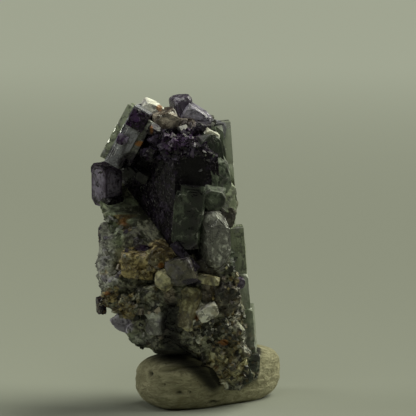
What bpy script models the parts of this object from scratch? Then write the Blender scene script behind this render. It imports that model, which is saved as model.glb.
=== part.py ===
"""Fluorite crystal cluster, standing with its foot pressed into a pad of display putty.

Millimetres below, metres in the scene. +Z is up, and the origin is near the middle of the
pad's flat underside. -Y is the side that shows best, and +X is to its right.

The cluster is one solid: a lump of massive fluorite, a large octahedron that lies in its
front, and the cubes, slabs and grains that grew on them. Places on the front are given as
they are seen from 7 degrees above the horizon: across, up from the pad's front edge, and
depth.
"""

import itertools
import math
import random

import bmesh
import bpy
from mathutils import Matrix, Vector

MM = 0.001
POLE_RADIUS = 1e-4

# Where the front is seen from
VIEW_ELEVATION = math.radians(7)
VIEW_DISTANCE = 237.7
VIEW_ACROSS, VIEW_UP = -0.23, 23.05
PAD_FRONT = 6.5

# The pad: a roll that runs from the front left to the back right
PAD_LENGTH = 18.0
PAD_RIGHT = 0.35
PAD_HALF_WIDTH_FRONT = 3.7
PAD_HALF_WIDTH_BACK = 5.0
PAD_HEIGHT = 6.7
PAD_CUT_OFF_BELOW = 0.6
PAD_TURN = math.radians(34)
PAD_BEND = 0.6
PAD_LIFT = 0.35
PAD_ROUNDNESS = 0.62
CONTACT_GAP = 0.3

# The lump of massive fluorite, level by level: height, left, right, front, back
LUMP_LEVELS = (
    (1.9, 1.8, 3.2, -3.6, -2.2),
    (3.4, 0.8, 4.3, -4.3, -0.4),
    (5.4, -1.0, 4.5, -4.8, 1.8),
    (6.9, -4.0, 4.5, -5.0, 3.2),
    (8.6, -7.2, 4.3, -5.3, 4.2),
    (10.6, -10.0, 3.9, -5.5, 4.8),
    (13.0, -11.2, 3.6, -5.7, 5.2),
    (16.0, -11.4, 3.3, -5.2, 5.6),
    (19.0, -11.4, 2.9, -3.2, 5.6),
    (22.0, -11.2, 2.5, -1.8, 5.6),
    (25.0, -11.0, 2.0, -0.9, 5.5),
    (28.0, -10.4, 1.4, -0.6, 5.0),
    (31.0, -8.8, 1.0, -1.4, 4.4),
    (33.0, -6.2, 0.2, -1.6, 3.0),
)
LUMP_SQUARENESS = 2.8
LUMP_BROKEN_DEPTH = 0.45

# The octahedron: its size, the middle of its near edge (across, up, depth), how it is turned,
# how much of its points stays, and the planes where other growth ends it
OCTAHEDRON_EDGE = 13.6
OCTAHEDRON_EDGE_MIDDLE = (-4.0, 24.6, -6.0)
OCTAHEDRON_LEAN = -2.0
OCTAHEDRON_TURN = -18.7
OCTAHEDRON_TIP = 8.0
OCTAHEDRON_POINTS_KEPT = 0.96
OCTAHEDRON_ENDS = (
    ((2.2, 0, 24), (1, 0, 0.07)),
    ((0, 5.2, 0), (0, 1, 0)),
    ((-3, 0, 32.6), (-0.2, -0.3, 1)),
)
HALF_ROOT = math.sqrt(0.5)
EDGE_UPRIGHT = Matrix(((0, -1, 0), (-HALF_ROOT, 0, -HALF_ROOT), (HALF_ROOT, 0, -HALF_ROOT)))

# Crystals of the front: name, (across, up, depth), (width, depth, height),
# (lean to the left, turn to the right, tip forwards) in degrees, and how much of each corner stays
FRONT_CRYSTALS = (
    ("shoulder_front", (-9.2, 31.2, -3.0), (2.0, 3.2, 7.1), (-29, -8, 3), 1.0),
    ("shoulder_back", (-10.2, 31.7, -1.9), (1.2, 3.0, 6.8), (-29, -8, 3), 1.0),
    ("shoulder_side", (-8.0, 30.6, -3.1), (0.9, 2.8, 5.6), (-29, -8, 3), 1.0),
    ("shoulder_cap", (-8.05, 33.35, -3.1), (2.06, 3.2, 2.0), (-29, -8, 3), 1.0),
    ("left_cube", (-11.8, 25.7, 0.7), (2.4, 2.6, 4.6), (6, 40, 10), 0.86),
    ("left_cube_foot", (-11.3, 23.2, -0.9), (1.7, 1.8, 2.4), (10, 20, 0), 0.9),
    ("teal_block", (-10.2, 21.6, -1.8), (2.7, 2.8, 3.4), (14, -22, 10), 0.95),
    ("stained_block", (-9.2, 20.9, -2.2), (2.1, 2.2, 2.4), (-34, 10, 12), 0.9),
    ("slope_block_a", (-7.8, 19.0, -3.3), (2.8, 2.6, 2.6), (-32, -12, 8), 0.9),
    ("slope_block_b", (-9.7, 18.9, -3.2), (3.2, 3.0, 3.0), (18, -24, 6), 0.88),
    ("left_pale_a", (-11.1, 20.1, 2.4), (2.4, 3.2, 3.0), (8, 20, 0), 0.85),
    ("left_pale_b", (-11.5, 17.4, 1.9), (2.3, 3.2, 3.2), (-6, 10, 6), 0.9),
    ("left_pale_c", (-11.3, 14.2, 1.0), (2.4, 3.0, 3.2), (10, -12, 0), 0.9),
    ("left_pale_d", (-10.9, 16.2, -2.0), (2.7, 2.8, 3.0), (24, 30, 10), 0.9),
    ("green_mid", (-2.4, 21.8, -5.7), (3.0, 2.8, 6.3), (-6, -14, 5), 0.86),
    ("green_facet", (-2.0, 24.0, -6.9), (2.6, 1.0, 3.1), (-4, -12, 3), 1.0),
    ("pale_mid", (0.4, 19.3, -5.0), (2.9, 3.0, 6.8), (4, 24, 2), 0.66),
    ("blade", (-2.9, 17.5, -6.3), (0.9, 1.6, 4.0), (42, 10, 0), 1.0),
    ("purple_corner", (-3.1, 16.0, -6.2), (3.1, 2.6, 2.9), (13, -16, 4), 0.96),
    ("right_slab_top", (1.6, 27.0, 2.4), (2.0, 5.0, 12.0), (4, 3, 0), 1.0),
    ("right_slab_front", (0.9, 29.0, -1.4), (1.6, 2.4, 7.2), (7, 6, 4), 0.95),
    ("right_green", (2.9, 18.1, -0.4), (2.1, 3.4, 5.7), (4, 2, 0), 1.0),
    ("right_grey", (3.2, 13.1, -0.6), (2.3, 3.4, 5.4), (5, 5, 3), 0.92),
    ("right_foot", (4.0, 8.9, -0.8), (2.3, 3.4, 5.9), (4, -4, 2), 0.95),
    ("foot_corner", (4.4, 5.4, -1.9), (1.9, 2.4, 2.5), (0, 18, 6), 0.9),
    ("foot_dark", (3.9, 4.1, -2.2), (2.3, 2.4, 2.0), (24, -12, 0), 0.85),
    ("foot_front", (1.3, 7.6, -3.6), (4.4, 3.0, 5.2), (30, -12, 6), 0.86),
    ("foot_left", (-0.9, 8.1, -3.4), (3.0, 3.0, 4.0), (34, -26, 8), 0.9),
    ("foot_tip", (2.5, 4.5, -3.0), (2.2, 2.0, 2.6), (38, 10, 4), 0.85),
    ("foot_side", (0.9, 4.7, -3.6), (1.9, 1.6, 3.0), (36, -8, 0), 0.85),
    ("dark_green_a", (0.0, 29.3, -3.1), (2.5, 3.0, 4.6), (14, 18, 8), 0.85),
    ("dark_green_b", (0.4, 26.6, -3.5), (2.7, 3.0, 4.8), (6, 26, 0), 0.8),
    ("speckled_block", (-0.1, 24.6, -4.4), (3.0, 2.8, 3.0), (-12, 14, 10), 0.8),
    ("smoky_right_a", (1.4, 24.0, -2.7), (2.4, 3.0, 3.8), (10, 30, 0), 0.82),
    ("smoky_right_b", (1.6, 22.0, -3.0), (2.2, 2.4, 2.8), (-18, 12, 0), 0.85),
    ("oval_grain", (-5.3, 14.8, -6.4), (1.8, 1.4, 2.5), (6, -8, 10), 0.6),
    ("ochre_block", (-8.1, 16.7, -4.8), (3.5, 2.8, 2.9), (-8, -14, 12), 0.84),
    ("tan_block", (-5.9, 17.2, -5.6), (2.9, 2.2, 2.7), (-38, 6, 10), 0.82),
    ("tan_sliver", (-0.3, 14.9, -6.1), (2.7, 1.2, 1.0), (-12, 0, 0), 0.75),
    ("beige_plate", (-2.5, 11.6, -5.4), (2.2, 1.5, 5.1), (-11, -28, 2), 0.8),
    ("white_chip", (-0.3, 11.2, -6.0), (2.4, 1.4, 1.5), (30, 10, 14), 0.8),
    ("pepper_block", (-0.9, 9.7, -5.3), (2.2, 1.7, 2.4), (16, -10, 0), 0.85),
    ("hollow_right", (1.4, 12.8, -4.3), (3.2, 2.4, 3.5), (-22, 24, 0), 0.8),
    ("under_pale", (-0.7, 16.4, -4.7), (2.6, 2.4, 2.4), (20, 12, 0), 0.9),
    ("purple_bead", (3.2, 14.5, -3.1), (1.2, 1.2, 1.1), (20, 30, 20), 0.8),
    ("dark_block", (-6.9, 12.8, -5.0), (3.0, 2.8, 3.2), (4, 12, 6), 0.9),
    ("blue_grey_block", (-6.1, 10.4, -4.9), (2.2, 2.2, 3.6), (4, -26, 0), 0.95),
    ("left_ochre_a", (-10.6, 12.6, -3.4), (2.6, 2.4, 2.2), (-24, -18, 10), 0.8),
    ("left_ochre_b", (-9.2, 11.6, -4.2), (1.9, 1.8, 1.8), (12, 10, 20), 0.8),
    ("left_purple_bead", (-12.7, 11.9, -0.4), (0.9, 1.1, 2.0), (4, 20, 0), 0.85),
    ("lower_violet", (-9.7, 10.4, -2.6), (2.2, 2.2, 2.0), (42, -18, 0), 0.88),
    ("lower_bulge", (-7.8, 9.3, -3.2), (3.0, 3.4, 2.9), (38, -10, 8), 0.85),
    ("lower_grey", (-5.6, 8.1, -2.6), (2.8, 3.4, 2.5), (36, 16, 0), 0.88),
    ("top_purple", (-3.3, 34.6, -0.6), (2.2, 2.4, 2.5), (12, 24, 10), 0.78),
    ("top_lavender", (-1.7, 33.3, -1.2), (3.2, 2.6, 2.3), (-33, 10, 8), 0.9),
    ("top_grey", (0.5, 31.9, -0.8), (1.9, 2.0, 2.2), (-6, 30, 8), 0.84),
    ("top_pale", (-2.5, 32.7, -2.0), (2.2, 2.2, 2.2), (18, -18, 12), 0.85),
    ("top_dark", (-0.9, 31.7, -2.7), (2.2, 2.2, 2.4), (-14, 18, 6), 0.88),
    ("top_cream", (0.2, 31.3, -3.3), (2.3, 1.4, 1.0), (-24, 0, 8), 0.85),
    ("top_cream_small", (-3.1, 32.1, -3.4), (1.1, 1.0, 0.9), (20, 0, 0), 0.85),
    ("top_white", (-6.9, 34.4, -1.6), (1.9, 2.0, 1.7), (-24, 12, 10), 0.85),
    ("top_white_side", (-7.8, 34.2, -0.8), (1.2, 1.6, 1.6), (14, -10, 0), 0.85),
    ("top_orange", (-5.6, 34.0, -1.6), (1.4, 1.6, 1.0), (-24, 0, 0), 0.8),
    ("top_smoky", (-5.3, 32.9, -2.3), (2.9, 2.8, 2.6), (16, 18, 14), 0.76),
)

# Crystals round the sides and the back, on a rising spiral, sunk by a share of their size
SIDE_COUNT = 64
SIDE_LOW, SIDE_HIGH = 8.0, 31.6
SIDE_SIZES = (2.3, 4.4)
SIDE_SUNK = 0.30
SIDE_TILT = 24
SIDE_CORNERS_KEPT = (1.0, 0.94, 0.88, 0.8, 0.7)
TAPER_FROM, TAPER_OVER, TAPER_BY = 26, 8, 0.35
GOLDEN_ANGLE = math.radians(137.508)
FRONT_SECTOR = math.radians(80)

# Small cubes over the octahedron's upper edge and over the granular foot:
# count, middle (across, up, depth), reach (across, up, depth), sizes, seed
SMALL_PATCHES = (
    (20, (-5.4, 30.6, -4.6), (2.0, 1.4, 0.8), (0.8, 1.5), 3),
    (16, (1.2, 7.0, -4.9), (2.2, 2.4, 0.4), (0.8, 1.4), 5),
    (10, (-9.6, 14.6, -4.5), (1.8, 2.4, 0.5), (1.0, 1.6), 7),
    (8, (1.0, 16.4, -5.0), (2.0, 1.2, 0.5), (0.8, 1.3), 9),
)


def from_view(across, up, depth):
    """The point at a depth that the eye sees across and up from the pad's front edge."""
    level = math.cos(VIEW_ELEVATION)
    rise = math.sin(VIEW_ELEVATION)
    middle = Vector((VIEW_ACROSS, 0, (VIEW_UP - PAD_FRONT * rise) / level))
    eye = middle + VIEW_DISTANCE * Vector((0, -level, rise))
    seen = middle + (across - VIEW_ACROSS) * Vector((1, 0, 0))
    seen += (up - VIEW_UP) * Vector((0, rise, level))
    return eye + (seen - eye) * (depth - eye.y) / (seen.y - eye.y)


def turned(lean, turn, tip):
    """Leaning left in the picture, turned right about the vertical, tipped forwards."""
    return (
        Matrix.Rotation(math.radians(-lean), 3, "Y")
        @ Matrix.Rotation(math.radians(turn), 3, "Z")
        @ Matrix.Rotation(math.radians(tip), 3, "X")
    )


def cut_away(bm, point, normal):
    """Takes off what lies beyond a plane, and closes the cut with a flat face."""
    cut = bmesh.ops.bisect_plane(
        bm,
        geom=bm.verts[:] + bm.edges[:] + bm.faces[:],
        dist=1e-5,
        plane_co=point,
        plane_no=normal,
        clear_outer=True,
    )
    rim = [e for e in cut["geom_cut"] if isinstance(e, bmesh.types.BMEdge)]
    if rim:
        bmesh.ops.edgeloop_fill(bm, edges=rim)


def octahedral_block(size, reach):
    """A cuboid with its eight corners cut by the octahedron's planes at a reach."""
    bm = bmesh.new()
    bmesh.ops.create_cube(bm, size=1.0)
    bmesh.ops.scale(bm, vec=size, verts=bm.verts)
    for signs in itertools.product((-1, 1), repeat=3):
        normal = Vector(signs).normalized()
        cut_away(bm, normal * reach, normal)
    return bm


def as_object(bm, name, matrix, collection):
    """An object in metres from a mesh in millimetres, with its place in its vertices."""
    bmesh.ops.transform(bm, matrix=Matrix.Scale(MM, 4) @ matrix, verts=bm.verts)
    bmesh.ops.recalc_face_normals(bm, faces=bm.faces)
    mesh = bpy.data.meshes.new(name)
    bm.to_mesh(mesh)
    bm.free()
    obj = bpy.data.objects.new(name, mesh)
    collection.objects.link(obj)
    return obj


def add_block(name, place, size, angles, corners_kept, collection, grow=0.0):
    """One crystal. grow moves each of its faces out, for the socket that it leaves."""
    size = Vector(size) + Vector((2 * grow,) * 3)
    reach = corners_kept * sum(size) / 2 / math.sqrt(3)
    matrix = Matrix.Translation(place) @ turned(*angles).to_4x4()
    return as_object(octahedral_block(size, reach), name, matrix, collection)


def signed_power(value, power):
    return math.copysign(abs(value) ** power, value)


def level_at(height, grow=0.0):
    """Left, right, front and back of the lump at a height."""
    levels = LUMP_LEVELS
    height = min(max(height, levels[0][0]), levels[-1][0])
    upper = next(i for i in range(1, len(levels)) if height <= levels[i][0])
    low, high = levels[upper - 1], levels[upper]
    share = (height - low[0]) / (high[0] - low[0])
    left, right, front, back = (a + (b - a) * share for a, b in zip(low[1:], high[1:]))
    return left - grow, right + grow, front - grow, back + grow


def lump_point(height, angle, grow=0.0):
    """A point of the lump's side: a rounded rectangle between the level's four limits."""
    left, right, front, back = level_at(height, grow)
    over = signed_power(math.cos(angle), 2 / LUMP_SQUARENESS)
    back_by = signed_power(math.sin(angle), 2 / LUMP_SQUARENESS)
    x = (left + right) / 2 + (right - left) / 2 * over
    y = (front + back) / 2 + (back - front) / 2 * back_by
    return Vector((x, y, height))


def lump_middle(height):
    left, right, front, back = level_at(height)
    return Vector(((left + right) / 2, (front + back) / 2, height))


def add_lump(name, collection, grow=0.0):
    """The massive middle: a sphere drawn through the levels, broken into uneven facets."""
    bm = bmesh.new()
    bmesh.ops.create_uvsphere(bm, u_segments=28, v_segments=18, radius=1.0)
    low, high = LUMP_LEVELS[0][0] - grow, LUMP_LEVELS[-1][0] + grow
    rng = random.Random(11)
    for v in bm.verts:
        height = low + (high - low) * math.acos(max(-1, min(1, -v.co.z))) / math.pi
        if math.hypot(v.co.x, v.co.y) < POLE_RADIUS:
            v.co = lump_middle(height)
        else:
            v.co = lump_point(height, math.atan2(v.co.y, v.co.x), grow)
            inward = (lump_middle(height) - v.co).normalized()
            v.co += inward * LUMP_BROKEN_DEPTH * rng.random()
    bmesh.ops.triangulate(bm, faces=bm.faces)
    return as_object(bm, name, Matrix.Identity(4), collection)


def add_octahedron(name, collection):
    """The large octahedron, one edge upright at the front, cut off right, behind and above."""
    vertex_reach = OCTAHEDRON_EDGE / math.sqrt(2)
    turning = turned(OCTAHEDRON_LEAN, OCTAHEDRON_TURN, OCTAHEDRON_TIP) @ EDGE_UPRIGHT
    edge_middle = turned(OCTAHEDRON_LEAN, OCTAHEDRON_TURN, OCTAHEDRON_TIP) @ Vector((0, -1, 0))
    centre = from_view(*OCTAHEDRON_EDGE_MIDDLE) - edge_middle * OCTAHEDRON_EDGE / 2
    blunted = Vector((1, 1, 1)) * 2 * vertex_reach * OCTAHEDRON_POINTS_KEPT
    bm = octahedral_block(blunted, vertex_reach / math.sqrt(3))
    place = Matrix.Translation(centre) @ turning.to_4x4()
    bmesh.ops.transform(bm, matrix=place, verts=bm.verts)
    for point, normal in OCTAHEDRON_ENDS:
        cut_away(bm, Vector(point), Vector(normal).normalized())
    return as_object(bm, name, Matrix.Identity(4), collection)


def side_blocks():
    """Crystals round the sides and the back: on a spiral, turned outwards, sunk in the lump."""
    rng = random.Random(21)
    for i in range(SIDE_COUNT):
        height = SIDE_LOW + (SIDE_HIGH - SIDE_LOW) * (i + 0.5) / SIDE_COUNT
        angle = i * GOLDEN_ANGLE + math.radians(90)
        size = Vector([rng.uniform(*SIDE_SIZES) for _ in range(3)])
        size *= 1.0 - TAPER_BY * max(0.0, (height - TAPER_FROM) / TAPER_OVER)
        angles = [rng.uniform(-SIDE_TILT, SIDE_TILT) for _ in range(3)]
        kept = rng.choice(SIDE_CORNERS_KEPT)
        from_front = (angle + math.radians(90)) % (2 * math.pi)
        if min(from_front, 2 * math.pi - from_front) < FRONT_SECTOR:
            continue
        outward = Vector((math.cos(angle), math.sin(angle), 0))
        place = lump_point(height, angle) - outward * max(size) * SIDE_SUNK
        facing = math.degrees(angle) + 90
        yield f"side_{i:02d}", place, size, (angles[0], facing + angles[1], angles[2]), kept


def small_blocks():
    """Small cubes in the named patches."""
    for patch, (count, middle, reach, sizes, seed) in enumerate(SMALL_PATCHES):
        rng = random.Random(seed)
        for i in range(count):
            seen = [m + r * rng.uniform(-1, 1) for m, r in zip(middle, reach)]
            size = [rng.uniform(*sizes) for _ in range(3)]
            angles = [rng.uniform(-45, 45) for _ in range(3)]
            yield f"small_{patch}_{i:02d}", from_view(*seen), size, angles, 0.92


def all_blocks():
    """Every crystal but the octahedron: name, place, size, angles, corners kept."""
    for name, seen, size, angles, kept in FRONT_CRYSTALS:
        yield name, from_view(*seen), size, angles, kept
    yield from side_blocks()
    yield from small_blocks()


def material(name, colour, roughness):
    made = bpy.data.materials.new(name)
    made.use_nodes = True
    shader = made.node_tree.nodes["Principled BSDF"]
    shader.inputs["Base Color"].default_value = (*colour, 1)
    shader.inputs["Roughness"].default_value = roughness
    shader.inputs["Metallic"].default_value = 0.0
    return made


def boolean(obj, operation, collection):
    """Joins or cuts with everything in a collection."""
    modifier = obj.modifiers.new(operation.lower(), "BOOLEAN")
    modifier.operation = operation
    modifier.solver = "EXACT"
    modifier.operand_type = "COLLECTION"
    modifier.collection = collection


def new_collection(name, helper=False):
    made = bpy.data.collections.new(name)
    bpy.context.scene.collection.children.link(made)
    made.hide_render = helper
    return made


def as_helpers(objects):
    for obj in objects:
        obj.hide_render = True
        obj.display_type = "WIRE"


def baked(obj):
    """Puts the result of an object's modifiers in its mesh."""
    evaluated = obj.evaluated_get(bpy.context.evaluated_depsgraph_get())
    mesh = bpy.data.meshes.new_from_object(evaluated)
    obj.modifiers.clear()
    obj.data = mesh


def fill_hollows(obj):
    """Keeps the outer shell only, so that gaps shut in between the crystals are solid."""
    bm = bmesh.new()
    bm.from_mesh(obj.data)
    unseen = set(bm.verts)
    shells = []
    while unseen:
        shell = set()
        reached = [unseen.pop()]
        while reached:
            v = reached.pop()
            shell.add(v)
            for edge in v.link_edges:
                other = edge.other_vert(v)
                if other in unseen:
                    unseen.discard(other)
                    reached.append(other)
        shells.append(shell)
    shells.sort(key=len)
    for shell in shells[:-1]:
        bmesh.ops.delete(bm, geom=list(shell), context="VERTS")
    bm.to_mesh(obj.data)
    bm.free()


def pad_point(unit):
    """From a unit sphere with its poles left and right to the roll before it is turned."""
    ring = math.hypot(unit.x, unit.y)
    angle = math.atan2(unit.y, unit.x)
    along = signed_power(unit.z, PAD_ROUNDNESS)
    swell = ring**PAD_ROUNDNESS
    back = swell * signed_power(math.cos(angle), PAD_ROUNDNESS)
    up = swell * signed_power(math.sin(angle), PAD_ROUNDNESS)
    half_width = PAD_HALF_WIDTH_BACK if back > 0 else PAD_HALF_WIDTH_FRONT
    y = back * half_width + PAD_BEND * along**2
    z = PAD_HEIGHT / 2 * (1 + up) - PAD_CUT_OFF_BELOW + PAD_LIFT * max(0.0, along) ** 2
    return Vector((along * PAD_LENGTH / 2, y, z))


def build_cluster(parts):
    """The lump with every crystal joined on."""
    cluster = add_lump("fluorite_cluster", parts)
    grown = new_collection("grown_crystals", helper=True)
    add_octahedron("octahedron", grown)
    for name, place, size, angles, kept in all_blocks():
        add_block(name, place, size, angles, kept, grown)
    as_helpers(grown.objects)
    boolean(cluster, "UNION", grown)
    baked(cluster)
    fill_hollows(cluster)
    cluster.data.materials.clear()
    cluster.data.materials.append(material("fluorite", (0.10, 0.08, 0.13), 0.2))
    return cluster


def build_pad(parts):
    """A fat roll of putty, flattened below, with the socket that the cluster's foot pressed."""
    bm = bmesh.new()
    bmesh.ops.create_uvsphere(bm, u_segments=24, v_segments=20, radius=1.0)
    for v in bm.verts:
        v.co = pad_point(v.co)
    place = Matrix.Translation((PAD_RIGHT, 0, 0)) @ Matrix.Rotation(PAD_TURN, 4, "Z")
    pad = as_object(bm, "putty_pad", place, parts)
    bm = bmesh.new()
    bm.from_mesh(pad.data)
    cut_away(bm, Vector((0, 0, 0)), Vector((0, 0, -1)))
    bm.to_mesh(pad.data)
    bm.free()
    socket = new_collection("socket", helper=True)
    add_lump("socket_lump", socket, CONTACT_GAP * 1.3)
    for name, place, size, angles, kept in all_blocks():
        if place.z - max(size) < PAD_HEIGHT:
            add_block(name + "_socket", place, size, angles, kept, socket, CONTACT_GAP)
    as_helpers(socket.objects)
    boolean(pad, "DIFFERENCE", socket)
    baked(pad)
    fill_hollows(pad)
    pad.data.materials.clear()
    pad.data.materials.append(material("putty", (0.42, 0.40, 0.29), 0.85))
    return pad


def main():
    for obj in list(bpy.data.objects):
        bpy.data.objects.remove(obj)
    parts = new_collection("fluorite_specimen")
    build_cluster(parts)
    build_pad(parts)


main()
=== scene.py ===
import itertools
import math
import random

import bpy
import numpy as np
from mathutils import Matrix, Vector


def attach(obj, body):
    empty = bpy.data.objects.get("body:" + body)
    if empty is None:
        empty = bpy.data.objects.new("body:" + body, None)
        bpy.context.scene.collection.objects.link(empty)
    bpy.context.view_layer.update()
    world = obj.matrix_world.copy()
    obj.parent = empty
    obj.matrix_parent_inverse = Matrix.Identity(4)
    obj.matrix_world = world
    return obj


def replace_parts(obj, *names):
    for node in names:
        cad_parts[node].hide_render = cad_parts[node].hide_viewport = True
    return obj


# A fluorite cluster with its foot pressed into a pad of putty. Sizes and places are in
# millimetres in the frame's own axes; only the meshes, the lights and the camera are in metres.
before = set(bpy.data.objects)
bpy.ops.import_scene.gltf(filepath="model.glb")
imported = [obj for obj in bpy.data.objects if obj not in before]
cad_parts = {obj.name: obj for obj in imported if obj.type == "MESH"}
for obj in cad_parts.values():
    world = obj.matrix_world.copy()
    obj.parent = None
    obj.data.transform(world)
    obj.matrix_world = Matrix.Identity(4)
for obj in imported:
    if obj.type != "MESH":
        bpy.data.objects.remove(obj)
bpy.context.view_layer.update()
mm = 0.001
print("frame loaded")

# Where the front is seen from. Crystals of the front are placed across, up and deep in that view.
viewpoint = {"elevation": 7, "distance": 237.7, "across": -0.23, "up": 23.05, "padFront": 6.5, "lens": 180}


def pictureAxes():
    # The eye, the middle of the picture's plane, the picture's own upward direction and the way back
    level = math.cos(math.radians(viewpoint["elevation"]))
    rise = math.sin(math.radians(viewpoint["elevation"]))
    middle = np.array([viewpoint["across"], 0, (viewpoint["up"] - viewpoint["padFront"] * rise) / level])
    back = np.array([0, -level, rise])
    return middle + viewpoint["distance"] * back, middle, np.array([0, rise, level]), back


def fromView(across, up, depth):
    # The point at a depth on the line from the eye through a place in the picture's plane
    eye, middle, upward, back = pictureAxes()
    seen = middle + np.array([across - viewpoint["across"], 0, 0]) + (up - viewpoint["up"]) * upward
    return eye + (seen - eye) * (depth - eye[1]) / (seen[1] - eye[1])


def toView(points):
    # Where points stand in the picture's plane: across and up
    eye, middle, upward, back = pictureAxes()
    ray = points - eye
    ray = ray * (viewpoint["distance"] / -(ray @ back))[:, None]
    return ray[:, 0] + viewpoint["across"], ray @ upward + viewpoint["up"]


def turned(lean, turn, tip):
    # Leaning left in the picture, turned right about the vertical, tipped forwards, in degrees
    sideways = Matrix.Rotation(math.radians(-lean), 3, "Y")
    about = Matrix.Rotation(math.radians(turn), 3, "Z")
    forwards = Matrix.Rotation(math.radians(tip), 3, "X")
    return np.array(sideways @ about @ forwards)


def signedPower(value, power):
    # The size of a value raised to a power, with the value's sign kept
    return np.sign(value) * np.abs(value) ** power


def softStep(value, low, high):
    # 0 at low, 1 at high, and a curve without corners between them
    share = np.clip((value - low) / (high - low), 0, 1)
    return share * share * (3 - 2 * share)


def wavy(points, waveLength, seed):
    # A smooth random field between about -1 and 1: six plane waves in random directions, summed
    rng = np.random.default_rng(seed)
    total = np.zeros(len(points))
    for turnOfWave in range(6):
        direction = rng.normal(size=3)
        direction *= 2 * math.pi / (waveLength * rng.uniform(0.6, 1.6)) / np.linalg.norm(direction)
        total += np.sin(points @ direction + rng.uniform(0, 2 * math.pi))
    return total / 3.2


def brokenFacets(points, size, seed):
    # Space split into random cells; each cell is a small plane of its own, tilted and raised at
    # random. Returns the height of that plane, in cell sizes, at every point
    table = np.random.default_rng(seed).uniform(-0.5, 0.5, size=(4096, 7))
    scaled = points / size
    home = np.floor(scaled).astype(np.int64)
    best = np.full(len(points), np.inf)
    height = np.zeros(len(points))
    for step in itertools.product((-1, 0, 1), repeat=3):
        cell = home + step
        pick = table[(cell[:, 0] * 73856093 ^ cell[:, 1] * 19349663 ^ cell[:, 2] * 83492791) % 4096]
        apart = scaled - (cell + 0.5 + pick[:, :3])
        distance = np.sum(apart**2, axis=1)
        closer = distance < best
        best = np.where(closer, distance, best)
        height = np.where(closer, np.sum(apart * pick[:, 3:6], axis=1) * 1.6 + pick[:, 6] * 0.5, height)
    return height


# The grids that every surface is drawn on

def boxGrid(cells):
    # The six sides of a cube from -1 to 1, cells by cells each, with the shared edges merged:
    # whole-number places on the cube are numbered, and a side's squares read those numbers
    a, b = np.meshgrid(np.arange(cells + 1), np.arange(cells + 1), indexing="ij")
    places, squares = [], []
    for axis, end in itertools.product(range(3), (0, cells)):
        side = np.empty((cells + 1, cells + 1, 3), dtype=np.int64)
        side[..., axis] = end
        side[..., (axis + 1) % 3] = a
        side[..., (axis + 2) % 3] = b
        number = np.arange((cells + 1) ** 2).reshape(cells + 1, cells + 1) + len(places) * (cells + 1) ** 2
        ring = [number[:-1, :-1], number[1:, :-1], number[1:, 1:], number[:-1, 1:]]
        ring = ring if end else ring[::-1]
        places.append(side.reshape(-1, 3))
        squares.append(np.stack([r.ravel() for r in ring], axis=1))
    points, where = np.unique(np.concatenate(places), axis=0, return_inverse=True)
    return points / cells * 2 - 1, where.ravel()[np.concatenate(squares)]


def ringFaces(rings, around):
    # Faces between closed rings numbered from 1, with point 0 below them and one point above
    number = 1 + np.arange(rings * around).reshape(rings, around)
    after = np.roll(number, -1, axis=1)
    quads = np.stack([number[:-1], after[:-1], after[1:], number[1:]], axis=2).reshape(-1, 4)
    low = np.stack([after[0], number[0], np.zeros_like(number[0])], axis=1)
    high = np.stack([number[-1], after[-1], np.full_like(number[-1], rings * around + 1)], axis=1)
    return quads, np.concatenate([low, high])


def makePiece(name, points, quads, triangles, values, finish, smooth=False):
    # Puts arrays into a mesh: points in millimetres, corners of quads and triangles, and one
    # number per point for each named value that the finish reads
    mesh = bpy.data.meshes.new(name)
    corners = np.concatenate([quads.ravel(), triangles.ravel()]).astype(np.int32)
    starts = np.concatenate([np.arange(len(quads)) * 4, len(quads) * 4 + np.arange(len(triangles)) * 3])
    mesh.vertices.add(len(points))
    mesh.vertices.foreach_set("co", (points * mm).astype(np.float32).ravel())
    mesh.loops.add(len(corners))
    mesh.loops.foreach_set("vertex_index", corners)
    mesh.polygons.add(len(starts))
    mesh.polygons.foreach_set("loop_start", starts.astype(np.int32))
    for key, numbers in values.items():
        mesh.attributes.new(key, "FLOAT", "POINT").data.foreach_set("value", numbers.astype(np.float32))
    mesh.update(calc_edges=True)
    mesh.validate()
    if smooth:
        mesh.shade_smooth()
    else:
        mesh.shade_flat()
    mesh.materials.append(finish)
    piece = bpy.data.objects.new(name, mesh)
    bpy.context.scene.collection.objects.link(piece)
    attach(piece, "root")
    print(name, len(quads) * 2 + len(triangles), "triangles")
    return piece


noTriangles = np.zeros((0, 3), dtype=np.int64)

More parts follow.
